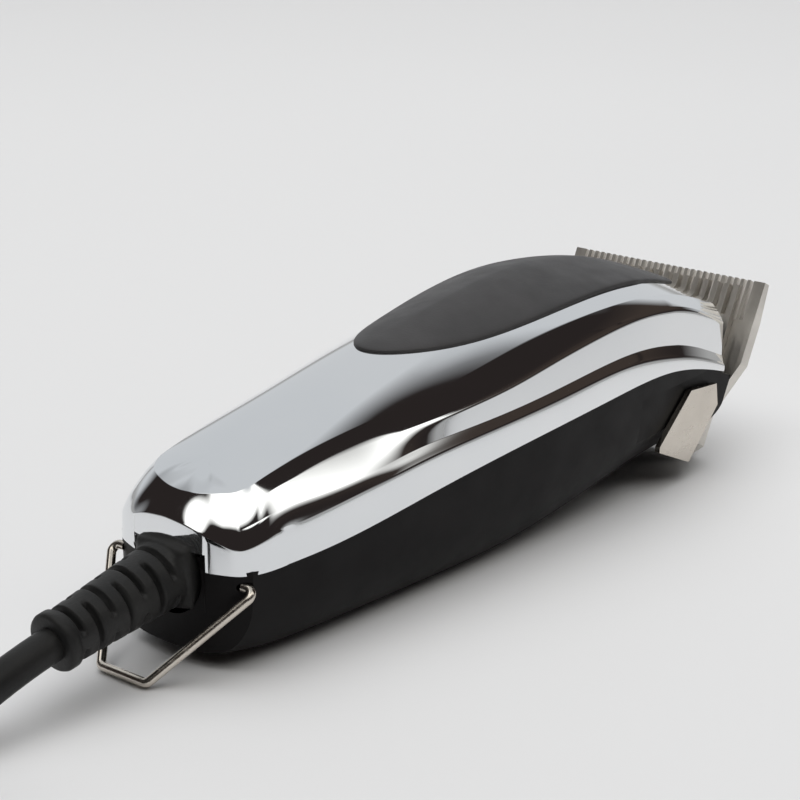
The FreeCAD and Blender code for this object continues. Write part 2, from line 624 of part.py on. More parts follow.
def motor_screws():
    """Two screws that hold the stator core on its posts."""
    screws = []
    for tag, across in (("rear", size("core_rear") + 3.5), ("front", size("core_front") - 3.5)):
        middle = Vector(across, size("core_back") + 2.5, size("core_low") - 0.02)
        up = Vector(0, 0, 1)
        shank = rod("motor_shank_" + tag, "1.65", middle, up, "{core_high} - {core_low} + 0.1")
        core_tall = size("core_high") - size("core_low")
        head = rod("motor_head_" + tag, "2.6", middle + up * (core_tall + 0.04), up, "1.2")
        slot_corner = middle + Vector(-3.5, -0.4, core_tall + 0.7)
        slot = primitive("Box", "motor_slot_" + tag, Placement(slot_corner, Rotation()),
                         Length="7", Width="0.8", Height="1.5")
        screws.append(cut("motor_screw_" + tag, fuse("motor_blank_" + tag, [shank, head]), slot))
    return finish(group("motor_screw_pair", screws), "motor_screws")


def armature():
    """Steel arm on its pivot pin, with the laminated pole and the plastic drive finger."""
    side, high, low = "{pivot_y} + {arm_thick} / 2", "{arm_high}", "{arm_low}"
    near = "{pivot_y} - {arm_thick} / 2"
    bar = block("arm_bar", ("{spring_x} - 3", near, low), ("51", side, high))
    tail = block("arm_tail", ("{spring_x} - 3", near, "{spring_z} - 3"), ("{spring_x} + 3", side, high))
    hub = rod("arm_hub", "4.2", Vector(size("pivot_x"), size("pivot_y"), size("arm_low")),
              Vector(0, 0, 1), "{arm_high} - {arm_low}")
    bore = rod("arm_bore", "{pivot_radius} + 0.04", Vector(size("pivot_x"), size("pivot_y"), 0),
               Vector(0, 0, 1), "40")
    finish(cut("arm", fuse("arm_blank", [bar, tail, hub]), bore), "armature_arm")
    pole = block("pole", ("{core_rear} + 1", "{core_face} + {air_gap}", "{core_low}"),
                 ("{core_front} - 1", near, "{core_high}"))
    finish(pole, "armature_pole")
    pivot = rod("pivot_rod", "{pivot_radius}", Vector(size("pivot_x"), size("pivot_y"), 9.05),
                Vector(0, 0, 1), "17.5")
    ring = rod("pivot_clip", "2.9", Vector(size("pivot_x"), size("pivot_y"), size("arm_high") + 0.3),
               Vector(0, 0, 1), "0.8")
    finish(fuse("pivot_whole", [pivot, ring]), "pivot_pin")


def drive_finger():
    """Plastic block on the arm's end; its tip stands in the moving blade's slot."""
    base = block("finger_base", ("46", "-2.9", "{arm_low}"),
                 ("62", "{pivot_y} - {arm_thick} / 2", "30"))
    clamp = block("finger_clamp", ("46", "-2.9", "{arm_high}"),
                  ("51", "{pivot_y} + {arm_thick} / 2", "27"))
    foot = Placement(Vector(-14 - size("finger_long") / 2, -size("finger_width") / 2,
                            size("blade_thick") + 0.3), Rotation())
    neck = primitive("Box", "finger_neck", BLADE.multiply(foot), Length="{finger_long}",
                     Width="{finger_width}", Height="15")
    return finish(fuse("finger", [base, clamp, neck]), "drive_finger")


def coil_spring(name, start, along, length):
    """A closed-coil wire spring between two seats."""
    wire = size("spring_wire")
    turns = 4.0
    radius = size("spring_radius") - wire / 2
    helix = Part.makeHelix((length - wire) / turns, length - wire, radius)
    circle_edge = Part.makeCircle(wire / 2, Vector(radius, 0, 0), Vector(0, 1, 0))
    spring = Part.Wire(helix.Edges).makePipeShell([Part.Wire([circle_edge])], True, True)
    spring.Placement = Placement(start + along * (wire / 2), Rotation(Vector(0, 0, 1), along))
    obj = doc.addObject("Part::Feature", name)
    obj.Shape = spring
    return obj


def return_springs():
    """Two springs, one each side of the arm's tail, that bring the armature back."""
    half = size("arm_thick") / 2
    left_seat = Vector(size("spring_x"), size("pivot_y") + half + 0.3, size("spring_z"))
    right_seat = Vector(size("spring_x"), size("pivot_y") - half - 0.3, size("spring_z"))
    springs = [coil_spring("spring_left", left_seat, Vector(0, 1, 0), 6.6),
               coil_spring("spring_right", right_seat, Vector(0, -1, 0), 6.6)]
    return finish(group("spring_pair", springs), "return_springs")


def power_screw():
    """Adjusting screw in the left wall; it presses on the left return spring."""
    left = Vector(0, 1, 0)
    seat = Vector(size("spring_x"), 13.1, size("spring_z"))
    shank = rod("power_shank", "1.6", seat, left, "3")
    head = rod("power_head", "2.45", seat + left * 1.2, left, "4.2")
    slot = primitive("Box", "power_slot", Placement(seat + Vector(-4, 4.5, -0.4), Rotation()),
                     Length="8", Width="2", Height="0.8")
    return finish(cut("power_screw_whole", fuse("power_blank", [shank, head]), slot), "power_screw")


# ---------------------------------------------------------------- switch
def switch():
    """Slide switch behind the left wall, and the button that a thumb moves."""
    x, z = "{switch_x}", "{switch_z}"
    case = block("switch_case", (x + " - 9", "9.8", z + " - 4"), (x + " + 9", "14.6", z + " + 4"))
    slider_room = block("switch_room", (x + " - {switch_travel} / 2 - 2.2", "12.6", z + " - 1.6"),
                        (x + " + {switch_travel} / 2 + 2.2", "16", z + " + 1.6"))
    finish(cut("switch_box", case, slider_room), "switch_body")
    stem = block("button_stem", (x + " - {switch_travel} / 2 - 2", "12.9", z + " - 1.4"),
                 (x + " - {switch_travel} / 2 + 2", "21", z + " + 1.4"))
    shoe = block("button_shoe", (x + " - {switch_travel} / 2 - 4", "15.0", z + " - 2"),
                 (x + " - {switch_travel} / 2 + 4", "22.4", z + " + 2"))
    middle = x + " - {switch_travel} / 2"
    grips = [block("button_groove_%d" % i, (middle + " + %.1f" % (i * 1.8 - 3), "21.9", z + " - 3"),
                   (middle + " + %.1f" % (i * 1.8 - 2.4), "23", z + " + 3")) for i in range(4)]
    button = cut("button", fuse("button_blank", [stem, shoe]), fuse("button_grooves", grips))
    finish(button, "switch_button")


# ---------------------------------------------------------------- wires, cord and hook
def rounded_path(points, radius=None, say=""):
    """Straight runs joined by tangent arcs: a given radius, or the largest that each corner allows."""
    edges, start, radii = [], points[0], []
    for before, corner, after in zip(points, points[1:], points[2:]):
        first, second = corner - before, after - corner
        runs = min(first.Length, second.Length)
        turn = first.getAngle(second)
        first.normalize()
        second.normalize()
        reach = radius * math.tan(turn / 2) if radius else 0.45 * runs
        bend = reach / math.tan(turn / 2)
        radii.append(round(bend, 1))
        enter, leave = corner - first * reach, corner + second * reach
        inwards = (second - first).normalize()
        middle = corner + inwards * (bend / math.cos(turn / 2) - bend)
        edges += [Part.LineSegment(start, enter).toShape(), Part.Arc(enter, middle, leave).toShape()]
        start = leave
    edges.append(Part.LineSegment(start, points[-1]).toShape())
    if say:
        print(say, "radii", radii)
    return Part.Wire(edges)


def tube(name, points, thick, radius=None, say=""):
    """A round tube along a rounded path."""
    path = rounded_path(points, radius, say)
    ring = Part.makeCircle(thick / 2, points[0], points[1] - points[0])
    solid = path.makePipeShell([Part.Wire([ring])], True, False)
    if say:
        ratio = solid.Volume / (math.pi * thick ** 2 / 4 * path.Length)
        print(say, "length %.1f mm, volume over section times length %.4f" % (path.Length, ratio))
    obj = doc.addObject("Part::Feature", name)
    obj.Shape = solid
    return obj


def hang_hook():
    """Wire bail at the rear: two pivots in the housing's sides and a narrow end to hang it by."""
    x, z, half, tip = (size("hook_" + word) for word in ("x", "z", "half", "tip_half"))
    end = Vector(x - size("hook_reach"), tip, z - size("hook_drop"))
    left = [Vector(x, half - 3.1, z), Vector(x, half, z), end]
    right = [Vector(p.x, -p.y, p.z) for p in reversed(left)]
    return finish(tube("hook_wire", left + right, size("hook_wire"), size("hook_bend")),
                  "hang_hook", Placement())


def boot_frame():
    """Frame at the rear wall: its X axis runs out along the strain relief."""
    return Placement(Vector(size("rear_end"), 0, size("boot_z")),
                     Rotation(Vector(0, 1, 0), 180 - size("boot_slope")))


def strain_relief():
    """Turned rubber boot: flange behind the wall, collar in it, tapering grooved sleeve."""
    body = new_body("strain_relief_body")
    sleeve, root, end = "{boot_long}", "{boot_root}", "{boot_end}"
    profile = [("-6.4", "0"), (sleeve, "0"), (sleeve, end + " - 0.5"), (sleeve + " - 0.5", end),
               ("4.4", root), ("3.2", "{collar_radius} - 0.5"), ("2.4", "{collar_radius}"),
               ("-5.0", "{collar_radius}"), ("-5.0", "{collar_radius} + 0.9"),
               ("-6.4", "{collar_radius} + 0.9")]
    sketch = outline(body, "profile", "XZ_Plane", profile)
    turned = body.newObject("PartDesign::Revolution", "sleeve")
    turned.Profile = sketch
    turned.ReferenceAxis = (sketch, ["H_Axis"])
    turned.Angle = 360
    doc.recompute()
    for i in range(int(size("boot_grooves"))):
        middle = "{groove_first} + %d * {groove_pitch}" % i
        near, far = middle + " - {groove_wide} / 2", middle + " + {groove_wide} / 2"
        floor = "{boot_root} - {groove_deep} - ({boot_root} - {boot_end}) * (%s) / {boot_long}" % middle
        ring = [(near, floor), (far, floor), (far, "{boot_root} + 2"), (near, "{boot_root} + 2")]
        groove = body.newObject("PartDesign::Groove", "groove_%d" % i)
        groove.Profile = outline(body, "groove_outline_%d" % i, "XZ_Plane", ring)
        groove.ReferenceAxis = (groove.Profile[0], ["H_Axis"])
        groove.Angle = 360
        before = turned.Shape.Volume if i == 0 else last.Shape.Volume
        doc.recompute()
        if not groove.Shape.Volume < before - 1:
            raise RuntimeError("a boot groove cuts nothing")
        last = groove
    return finish(body, "strain_relief", boot_frame())


def cord_clamp():
    """Plastic clamp inside the rear end that keeps a pull on the cord off the wires."""
    bar = block("clamp_bar", ("-61", "-6.5", "9.5"), ("-57.5", "6.5", "20"))
    return finish(bar, "cord_clamp")


def lead_wires():
    """Two insulated leads from the cord's end to the switch and the coil."""
    to_switch = [Vector(-57.0, 3, 16), Vector(-50, 7, 15), Vector(-42, 11.2, 8), Vector(-28, 11.5, 6.5),
                 Vector(-15, 12.2, 9), Vector(-9.3, 12.2, 10.5)]
    to_coil = [Vector(-57.0, -3, 16), Vector(-50, -7, 14), Vector(-42, -11, 7), Vector(-25, -12, 5.5),
               Vector(-8, -8, 5), Vector(8, -8.4, 4.6), Vector(14, -8.4, 7.5)]
    wires = [tube("lead_to_switch", to_switch, 1.6), tube("lead_to_coil", to_coil, 1.6)]
    return finish(group("lead_pair", wires), "lead_wires")


def housing_screws():
    """Three screws that hold the two shells together, put in from below."""
    up, screws = Vector(0, 0, 1), []
    for i, (x, y) in enumerate(COVER_SCREWS):
        seat, long = (8.5, 21.5) if x > 0 else (4.0, 22.0)
        start = Vector(x, y, seat - 2.0)
        head = rod("cover_head_%d" % i, "2.7", start, up, "1.95")
        shank = rod("cover_shank_%d" % i, "1.0", start + up * 1.9, up, str(long))
        slot_place = Placement(start + Vector(-3, -0.4, -0.1), Rotation())
        slot = primitive("Box", "cover_slot_%d" % i, slot_place, Length="6", Width="0.8", Height="1")
        screws.append(cut("cover_screw_%d" % i, fuse("cover_blank_%d" % i, [head, shank]), slot))
    return finish(group("cover_screw_set", screws), "housing_screws")


# The cord's route in millimetres, from the boot's end to the hank: it drops to the table and
# swings to the left to meet the outer turn of the hank.
CORD_ROUTE = (
    (-101.7, 0.0, 10.7), (-115.5, 1.4, 5.3), (-127.0, 5.0, 3.4), (-137.5, 10.2, 3.0),
    (-147.0, 16.4, 3.1),
)
# From the top of the hank to the plug that lies on it.
TAIL_ROUTE = (
    (-219.5, -17.1, 27.05), (-207.4, -17.1, 27.3), (-190.1, 0.0, 31.1), (-178.03, 0.0, 31.1),
)


def cord():
    start = boot_frame().multVec(Vector(size("boot_long") + 0.03, 0, 0))
    points = [start] + [Vector(*p) for p in CORD_ROUTE]
    finish(tube("cord_tube", points, size("cord_size"), say="cord"), "cord", Placement())
    tail = [Vector(*p) for p in TAIL_ROUTE]
    tail_tube = tube("cord_tail_tube", tail, size("cord_size"), size("tail_bend"), say="cord tail")
    finish(tail_tube, "cord_tail", Placement())


def racetrack(name, grow, low, high):
    """An upright solid with two round ends; grow is how far it stands out of the inner turn."""
    half = "({hank_fold} / 2 + %s)" % grow
    near_middle = "({hank_near} - {cord_size} / 2 - {hank_fold} / 2 - {hank_pitch})"
    far_middle = "(%s - ({hank_run} - {hank_fold}))" % near_middle
    middle = block(name + "_middle", (far_middle, "-" + half, low), (near_middle, half, high))
    ends = []
    for tag, across in (("near", near_middle), ("far", far_middle)):
        end = primitive("Cylinder", name + "_" + tag, None,
                        Radius=half, Height="(%s) - (%s)" % (high, low))
        end.setExpression("Placement.Base.x", short(across))
        end.setExpression("Placement.Base.z", short(low))
        ends.append(end)
    return fuse(name, [middle] + ends)


def cord_hank():
    """Outer shape of the hank: two turns side by side, in layers."""
    top = "{hank_lift} + {hank_layers} * {hank_pitch}"
    outer = racetrack("hank_outer", "{hank_pitch} + {cord_size} / 2", "{hank_lift}", top)
    inner = racetrack("hank_inner", "(0 - {cord_size} / 2)", "{hank_lift} - 1", top + " + 1")
    return finish(cut("hank", outer, inner), "cord_hank")


def cord_tie():
    """Strap round one side of the hank."""
    in_y, out_y = "{hank_fold} / 2 - {cord_size} / 2", "{hank_fold} / 2 + {hank_pitch} + {cord_size} / 2"
    top = "{hank_lift} + {hank_layers} * {hank_pitch}"
    x, half, thick = "{tie_x}", "{tie_wide} / 2", "{tie_thick}"
    outer = block("tie_outer", (x + " - " + half, "-(%s) - 0.05 - %s" % (out_y, thick), "0.05"),
                  (x + " + " + half, "-(%s) + 0.05 + %s" % (in_y, thick), top + " + 0.05 + " + thick))
    inner = block("tie_inner", (x + " - 20", "-(%s) - 0.05" % out_y, "0.05 + " + thick),
                  (x + " + 20", "-(%s) + 0.05" % in_y, top + " + 0.05"))
    return finish(cut("tie", outer, inner), "cord_tie")


def plug():
    """Flat two-pin plug that lies across the hank."""
    body = new_body("plug_body_body")
    rear, front, half = "{plug_rear}", "{plug_front}", "{plug_half}"
    side = [(rear, "5"), (rear + " + 6", "7"), (rear + " + 17", "{pin_half} + 4"),
            (front + " - 8", half), (front, half)]
    corners = side + [(a, "-(%s)" % b) for a, b in reversed(side)]
    pad(body, "shell", outline(body, "shell_outline", "XY_Plane", corners), "{plug_thick}")
    low = value(short("{hank_lift} + {hank_layers} * {hank_pitch}")) + 0.15
    finish(body, "plug_body", Placement(Vector(0, 0, low), Rotation()))
    pins = []
    for tag, side_way in (("left", 1), ("right", -1)):
        start = Vector(size("plug_front"), side_way * size("pin_half"), low + size("plug_thick") / 2)
        pins.append(rod("pin_" + tag, "{pin_radius}", start, Vector(1, 0, 0), "{pin_long}"))
    finish(group("pin_pair", pins), "plug_pins")


stationary_blade()
moving_blade()
blade_screws()
cam_follower()
blade_spring()
taper_lever()
lever_shaft()
stator_core()
coil()
motor_screws()
armature()
drive_finger()
return_springs()
power_screw()
switch()
hang_hook()
strain_relief()
cord_clamp()
lead_wires()
housing_screws()
cord()
cord_hank()
cord_tie()
plug()
top_cover()
grip_pad()
bottom_housing()

doc.recompute()
os.makedirs("parts", exist_ok=True)
for obj in doc.Objects:
    if "Invalid" in obj.State or "Error" in obj.State:
        raise RuntimeError("%s is %s" % (obj.Name, obj.State))
for obj in finished:
    if obj.Shape.isNull() or not obj.Shape.isValid():
        raise RuntimeError(obj.Label + " has no valid shape")
for obj in finished:
    print(obj.Label, len(obj.Shape.Solids), round(obj.Shape.Volume, 1), obj.Shape.BoundBox)
    obj.Shape.exportStep("parts/%s.step" % obj.Label)
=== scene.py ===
"""Looks of a corded hair clipper that lies on a pale table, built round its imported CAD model."""
import json
import math

import bpy
import numpy as np
from mathutils import Matrix, Vector


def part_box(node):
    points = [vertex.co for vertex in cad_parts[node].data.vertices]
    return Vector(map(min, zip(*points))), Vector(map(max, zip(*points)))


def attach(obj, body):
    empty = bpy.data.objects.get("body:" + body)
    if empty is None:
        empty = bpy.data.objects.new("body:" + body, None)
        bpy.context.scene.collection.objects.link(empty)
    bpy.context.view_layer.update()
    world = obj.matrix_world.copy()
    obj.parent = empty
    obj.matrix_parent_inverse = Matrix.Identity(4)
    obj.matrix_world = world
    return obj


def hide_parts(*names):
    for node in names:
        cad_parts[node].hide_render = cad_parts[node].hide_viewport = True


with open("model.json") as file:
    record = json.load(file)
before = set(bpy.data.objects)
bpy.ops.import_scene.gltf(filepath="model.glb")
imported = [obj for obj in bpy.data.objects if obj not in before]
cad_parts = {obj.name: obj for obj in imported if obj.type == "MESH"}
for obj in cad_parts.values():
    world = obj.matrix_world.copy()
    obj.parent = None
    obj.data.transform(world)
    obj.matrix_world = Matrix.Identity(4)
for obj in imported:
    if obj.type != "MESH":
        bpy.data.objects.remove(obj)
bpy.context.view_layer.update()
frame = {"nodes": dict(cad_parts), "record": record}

MM = 0.001


# ---------------------------------------------------------------- camera
CAMERA_TURN, CAMERA_TILT, CAMERA_ROLL = 39.22, 18.93, -0.24
CAMERA_PLACE = (-0.28711, -0.22614, 0.15119)
CAMERA_LENS, CAMERA_SENSOR = 94.5, 36.0


def make_camera():
    """The camera behind the clipper's right side, looking down along it."""
    turn, tilt, roll = [math.radians(a) for a in (CAMERA_TURN, CAMERA_TILT, CAMERA_ROLL)]
    ahead = Vector((math.cos(turn) * math.cos(tilt), math.sin(turn) * math.cos(tilt), -math.sin(tilt)))
    side = Vector((math.sin(turn), -math.cos(turn), 0))
    above = side.cross(ahead)
    right = math.cos(roll) * side + math.sin(roll) * above
    up = math.cos(roll) * above - math.sin(roll) * side
    data = bpy.data.cameras.new("camera")
    data.lens, data.sensor_width = CAMERA_LENS, CAMERA_SENSOR
    camera = bpy.data.objects.new("camera", data)
    camera.matrix_world = Matrix((right, up, -ahead)).transposed().to_4x4()
    camera.location = CAMERA_PLACE
    bpy.context.collection.objects.link(camera)
    bpy.context.scene.camera = camera


make_camera()

# ---------------------------------------------------------------- mains cord
CORD_SIZE = 5.7
BOOT_ROOT, BOOT_SLOPE, BOOT_LONG = (-69.5, 0.0, 15.4), math.radians(8.3), 25.5
BOOT_AWAY = Vector((-math.cos(BOOT_SLOPE), 0, -math.sin(BOOT_SLOPE)))
BOOT_END = Vector(BOOT_ROOT) + BOOT_AWAY * BOOT_LONG
CORD_ROUTE = (
    (-101.7, 0.0, 10.7), (-115.5, 1.4, 5.3), (-127.0, 5.0, 3.4), (-137.5, 10.2, 3.0),
    (-147.0, 16.4, 3.1),
)
HANK_ENTRY = ((-153.0, 19.8), (-160.0, 22.6), (-168.0, 23.3))
TAIL_ROUTE = (
    (-219.5, -17.1, 27.05), (-207.4, -17.1, 27.3), (-190.1, 0.0, 31.1), (-178.03, 0.0, 31.1),
)
# Radii of the hank's two tracks, and the height from layer to layer.  A curve cuts the corners
# between its points, so a bend's points stand out by 1 / ON_TRACK.
INNER, OUTER, LAYER = 17.1, 22.9, 5.8
ON_TRACK = 0.981
BEND_STEPS = 8
LAST_LOOP, LAST_ACROSS = 20.0, 2.9
HANK_LOW, HANK_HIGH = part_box("cord_hank")
NEAR_LOOP = HANK_HIGH[0] / MM - OUTER - CORD_SIZE / 2
FAR_LOOP = HANK_LOW[0] / MM + OUTER + CORD_SIZE / 2
LAYERS = [HANK_LOW[2] / MM + CORD_SIZE / 2 + LAYER * i for i in range(5)]


def half_turn(middle, radius, height, far, across=0.0):
    """Points of half a turn, against the clock: the far one from +Y to -Y, the near one back."""
    first = math.pi / 2 if far else -math.pi / 2
    reach = radius / ON_TRACK
    angles = [first + math.pi * k / BEND_STEPS for k in range(BEND_STEPS + 1)]
    return [(middle + reach * math.cos(a), across + reach * math.sin(a), height) for a in angles]


def hank_points():
    """The put-away turns on two tracks, layer by layer, with each change on its own straight."""
    a, b, c, d, top = LAYERS
    turns = [(True, OUTER, a), (False, INNER, a), (True, INNER, a),
             (False, INNER, b), (True, OUTER, b), (False, OUTER, b),
             (True, OUTER, c), (False, INNER, c), (True, INNER, c),
             (False, INNER, d), (True, OUTER, d), (False, OUTER, d)]
    points = [(x, y, a - drop) for (x, y), drop in zip(HANK_ENTRY, (0.3, 0.1, 0.0))]
    half = (NEAR_LOOP + FAR_LOOP) / 2
    for (far, radius, height), after in zip(turns, turns[1:] + [(True, OUTER, top)]):
        points += half_turn(FAR_LOOP if far else NEAR_LOOP, radius, height, far)
        side = -1 if far else 1
        if after[2] > height or after[1] != radius:
            points.append((half, side * radius / ON_TRACK, after[2]))
    points += half_turn(FAR_LOOP, LAST_LOOP, top, True, LAST_ACROSS)
    return points


def make_cord():
    """The whole mains cord, from inside the boot's end round the hank to the plug."""
    start = BOOT_END - BOOT_AWAY
    points = [tuple(start)] + list(CORD_ROUTE) + hank_points() + list(TAIL_ROUTE)
    data = bpy.data.curves.new("mains_cord", "CURVE")
    # a bevel of 1, so that each point's radius is the cord's own
    data.dimensions, data.bevel_depth, data.bevel_resolution = "3D", 1.0, 5
    data.resolution_u = 6
    line = data.splines.new("NURBS")
    line.points.add(len(points) - 1)
    for point, place in zip(line.points, points):
        point.co = (*[c * MM for c in place], 1)
        point.radius = CORD_SIZE / 2 * MM
    line.order_u = 3
    line.use_endpoint_u = True
    cord = bpy.data.objects.new("mains_cord", data)
    bpy.context.collection.objects.link(cord)
    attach(cord, "root")
    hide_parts("cord", "cord_tail", "cord_hank")
    return cord, start


cord, cord_start = make_cord()


# ---------------------------------------------------------------- mesh helpers
def new_piece(name, points, faces, body, replaces):
    """A smooth mesh piece from points in millimetres, riding on a CAD body."""
    mesh = bpy.data.meshes.new(name)
    mesh.from_pydata([tuple(float(c) * MM for c in p) for p in points], [], [tuple(f) for f in faces])
    mesh.validate()
    piece = bpy.data.objects.new(name, mesh)
    bpy.context.collection.objects.link(piece)
    for polygon in mesh.polygons:
        polygon.use_smooth = True
    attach(piece, body)
    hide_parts(*replaces)
    return piece


def grid_faces(rows, columns, closed_rows=False, closed_columns=False):
    """Quads of a grid whose points are stored row after row."""
    faces = []
    for i in range(rows if closed_rows else rows - 1):
        for j in range(columns if closed_columns else columns - 1):
            below, beside = (i + 1) % rows, (j + 1) % columns
            faces.append((i * columns + j, i * columns + beside,
                          below * columns + beside, below * columns + j))
    return faces


def loft(name, rings, body, replaces):
    """A closed skin over rings of points that all have the same number of points."""
    around = len(rings[0])
    points = [p for ring in rings for p in ring]
    faces = grid_faces(len(rings), around, closed_columns=True)
    faces.append(list(range(around))[::-1])
    faces.append([(len(rings) - 1) * around + k for k in range(around)])
    return new_piece(name, points, faces, body, replaces)


def spline(xs, ys):
    """Natural cubic spline through points; straight beyond its ends."""
    xs, ys = np.array(xs, float), np.array(ys, float)
    n, h = len(xs), np.diff(xs)
    a, r = np.eye(n), np.zeros(n)
    for i in range(1, n - 1):
        a[i, i - 1:i + 2] = h[i - 1], 2 * (h[i - 1] + h[i]), h[i]
        r[i] = 6 * ((ys[i + 1] - ys[i]) / h[i] - (ys[i] - ys[i - 1]) / h[i - 1])
    m = np.linalg.solve(a, r)

    def at(x):
        x = np.asarray(x, float)
        i = np.clip(np.searchsorted(xs, x) - 1, 0, n - 2)
        t = np.clip(x, xs[0], xs[-1]) - xs[i]
        slope = (ys[i + 1] - ys[i]) / h[i] - h[i] * (2 * m[i] + m[i + 1]) / 6
        inside = ys[i] + slope * t + m[i] / 2 * t ** 2 + (m[i + 1] - m[i]) / (6 * h[i]) * t ** 3
        low = (ys[1] - ys[0]) / h[0] - h[0] * (2 * m[0] + m[1]) / 6
        high = (ys[-1] - ys[-2]) / h[-1] + h[-1] * (m[-2] + 2 * m[-1]) / 6
        return inside + low * np.minimum(x - xs[0], 0) + high * np.maximum(x - xs[-1], 0)
    return at


def smoothstep(x, low, high):
    """From 0 at low to 1 at high, level at both ends."""
    t = np.clip((np.asarray(x, float) - low) / (high - low), 0, 1)
    return t * t * (3 - 2 * t)


def mix(a, b, t):
    """From a at t = 0 to b at t = 1."""
    return a + (b - a) * t


# ---------------------------------------------------------------- chrome top cover
# Millimetres along the body against: half width, seam, top of the side band, lower and upper
# edge of the bright facet (further on, of the leaf panel), shoulder, and the middle of the back.
WIDE = spline((-72, -50, -25, 0, 25, 45, 60, 78), (13.8, 17.0, 19.4, 21.3, 22.7, 23.1, 22.7, 21.8))
SEAM = spline((-72, -50, -25, 0, 25, 45, 60, 78), (17.2, 17.6, 20.3, 22.7, 24.5, 24.6, 21.2, 14.8))
BAND = spline((-60, -52, -43.5, -35, -24, -12, -2, 8, 20, 30, 41, 54, 66.7, 73),
              (22.9, 23.5, 24.4, 25.4, 26.5, 27.1, 27.6, 28.1, 29.0, 29.3, 28.2, 25.2, 20.5, 18.0))
LEAF_LOW = spline((-60, -53, -46, -40.5, -35, -30, -25, -18, -8, 8, 20.6, 31, 42.5, 55, 66, 73),
                  (26.2, 26.2, 26.35, 26.75, 27.3, 27.95, 28.4, 28.6, 28.8, 29.6, 30.6, 31.0, 30.0,
                   26.8, 22.3, 19.2))
LEAF_HIGH = spline((-60, -54, -48, -42, -36, -30, -24, -17, -10, -2, 9, 21.6, 32, 43.4, 56, 69, 73),
                   (28.7, 29.4, 30.05, 30.55, 30.95, 31.3, 31.8, 32.3, 32.8, 33.5, 35.2, 36.75, 37.5,
                    37.0, 34.2, 29.0, 27.3))
SHOULDER = spline((-60, -53.6, -48, -42, -35, -27, -19, -9, 2, 14, 26, 37, 49, 62, 72),
                  (30.2, 31.3, 32.2, 32.9, 33.5, 34.2, 35.0, 36.2, 37.8, 39.1, 39.8, 39.6, 38.0,
                   34.4, 30.6))
SHOULDER_WIDE = spline((-60, -50, -40, -30, -20, -10, 0, 15, 30, 45, 60, 72),
                       (10.5, 11.0, 11.8, 13.0, 14.2, 14.9, 15.25, 16.3, 17.4, 17.7, 17.0, 16.2))
TOP = spline((-69, -60, -45, -30, -15, 0, 15, 25, 35, 45, 55, 65, 72),
             (28.7, 31.8, 35.1, 38.2, 41.2, 43.6, 45.2, 45.4, 44.6, 43.0, 40.2, 36.6, 33.9))
# The rounded rear begins at REAR_START.  The front lip leans: it is at LIP_X where the cover is
# LIP_AT high.  Between FRONT_START and FRONT_END the columns turn to follow it.
REAR_START = -58.0
LIP_AT, LIP_LEAN, LIP_X = 31.8, 0.36, 70.7
FRONT_START, FRONT_END = 50.0, 71.0
FRONT_PITCH, SIDE_PITCH, REAR_PITCH = 0.75, 1.0, 0.2
# The side band turns in by BAND_EDGE at its top and laps over the housing by LAP.
BAND_EDGE, LAP = 0.35, 0.2
BAND_ROWS, STEP_ROWS, LEAF_ROWS, FALL_ROWS, TOP_ROWS = 8, 8, 14, 14, 26
BACK_CROWDING = 1.3
WALL, TOUCHING = 1.2, 0.01


def crowded(rows):
    """Places from 0 to 1, close together at both ends, so that creases stay crisp."""
    return 0.5 - 0.5 * np.cos(np.pi * np.linspace(0, 1, rows + 1))


def lean_of_step(x, u):
    """Degrees that the strip above the side band leans in; part of it is bright at the leaf's tip."""
    plain = mix(mix(17, 30, u ** 2), 26, smoothstep(x, -46, -30))
    tail = smoothstep(x, -38, -31) * (1 - smoothstep(x, -27, -20))
    return mix(plain, 35, smoothstep(u, 1 - 0.5 * tail, 1.02 - 0.5 * tail) * tail)


def lean_of_leaf(x, u):
    """Degrees that the bright facet leans in, or from the leaf's tip on the panel and its crease."""
    panel = smoothstep(x, -46, -20)
    steep = mix(25, 11, smoothstep(x, -38, -18))
    crease = 1 - 0.87 * panel
    return mix(mix(steep, 36, smoothstep(u, 1 - crease, 1.04 - crease)), 33 + 5 * u, 1 - panel)


def lean_of_fall(x, u):
    """Degrees that the dark strip below the shoulder leans in."""
    return mix(mix(43, 56, u), mix(38, 50, u), smoothstep(x, -30, 5))


def flank(x):
    """The rows (y, z) from the side band's top to the shoulder, by how far each strip leans in."""
    heights = [float(line(x)) for line in (BAND, LEAF_LOW, LEAF_HIGH, SHOULDER)]
    y, points = float(WIDE(x)) - BAND_EDGE, []
    strips = ((lean_of_step, STEP_ROWS), (lean_of_leaf, LEAF_ROWS), (lean_of_fall, FALL_ROWS))
    for (lean, rows), low, high in zip(strips, heights, heights[1:]):
        places = crowded(rows)
        steps = [(v - u) * (high - low) * math.tan(math.radians(float(lean(x, (u + v) / 2))))
                 for u, v in zip(places, places[1:])]
        # the last strip always ends at the shoulder
        ease = (y - float(SHOULDER_WIDE(x))) / sum(steps) if lean is lean_of_fall else 1.0
        for step, v in zip(steps, places[1:]):
            y -= ease * step
            points.append((y, mix(low, high, v)))
    return np.array(points)


def roof_power(x):
    """How the back rises to its middle: flatter at the rear, more like a roof at the front."""
    return float(mix(2.3, 1.5, smoothstep(x, -45, 5)))


def top_curve(x, start_y, start_z, end_z, rows):
    """From the shoulder up to the middle of the back."""
    places = np.linspace(0, 1, rows + 1)[1:] ** BACK_CROWDING
    y = start_y * (1 - places)
    return [(a, end_z - (end_z - start_z) * (a / start_y) ** roof_power(x)) for a in y]


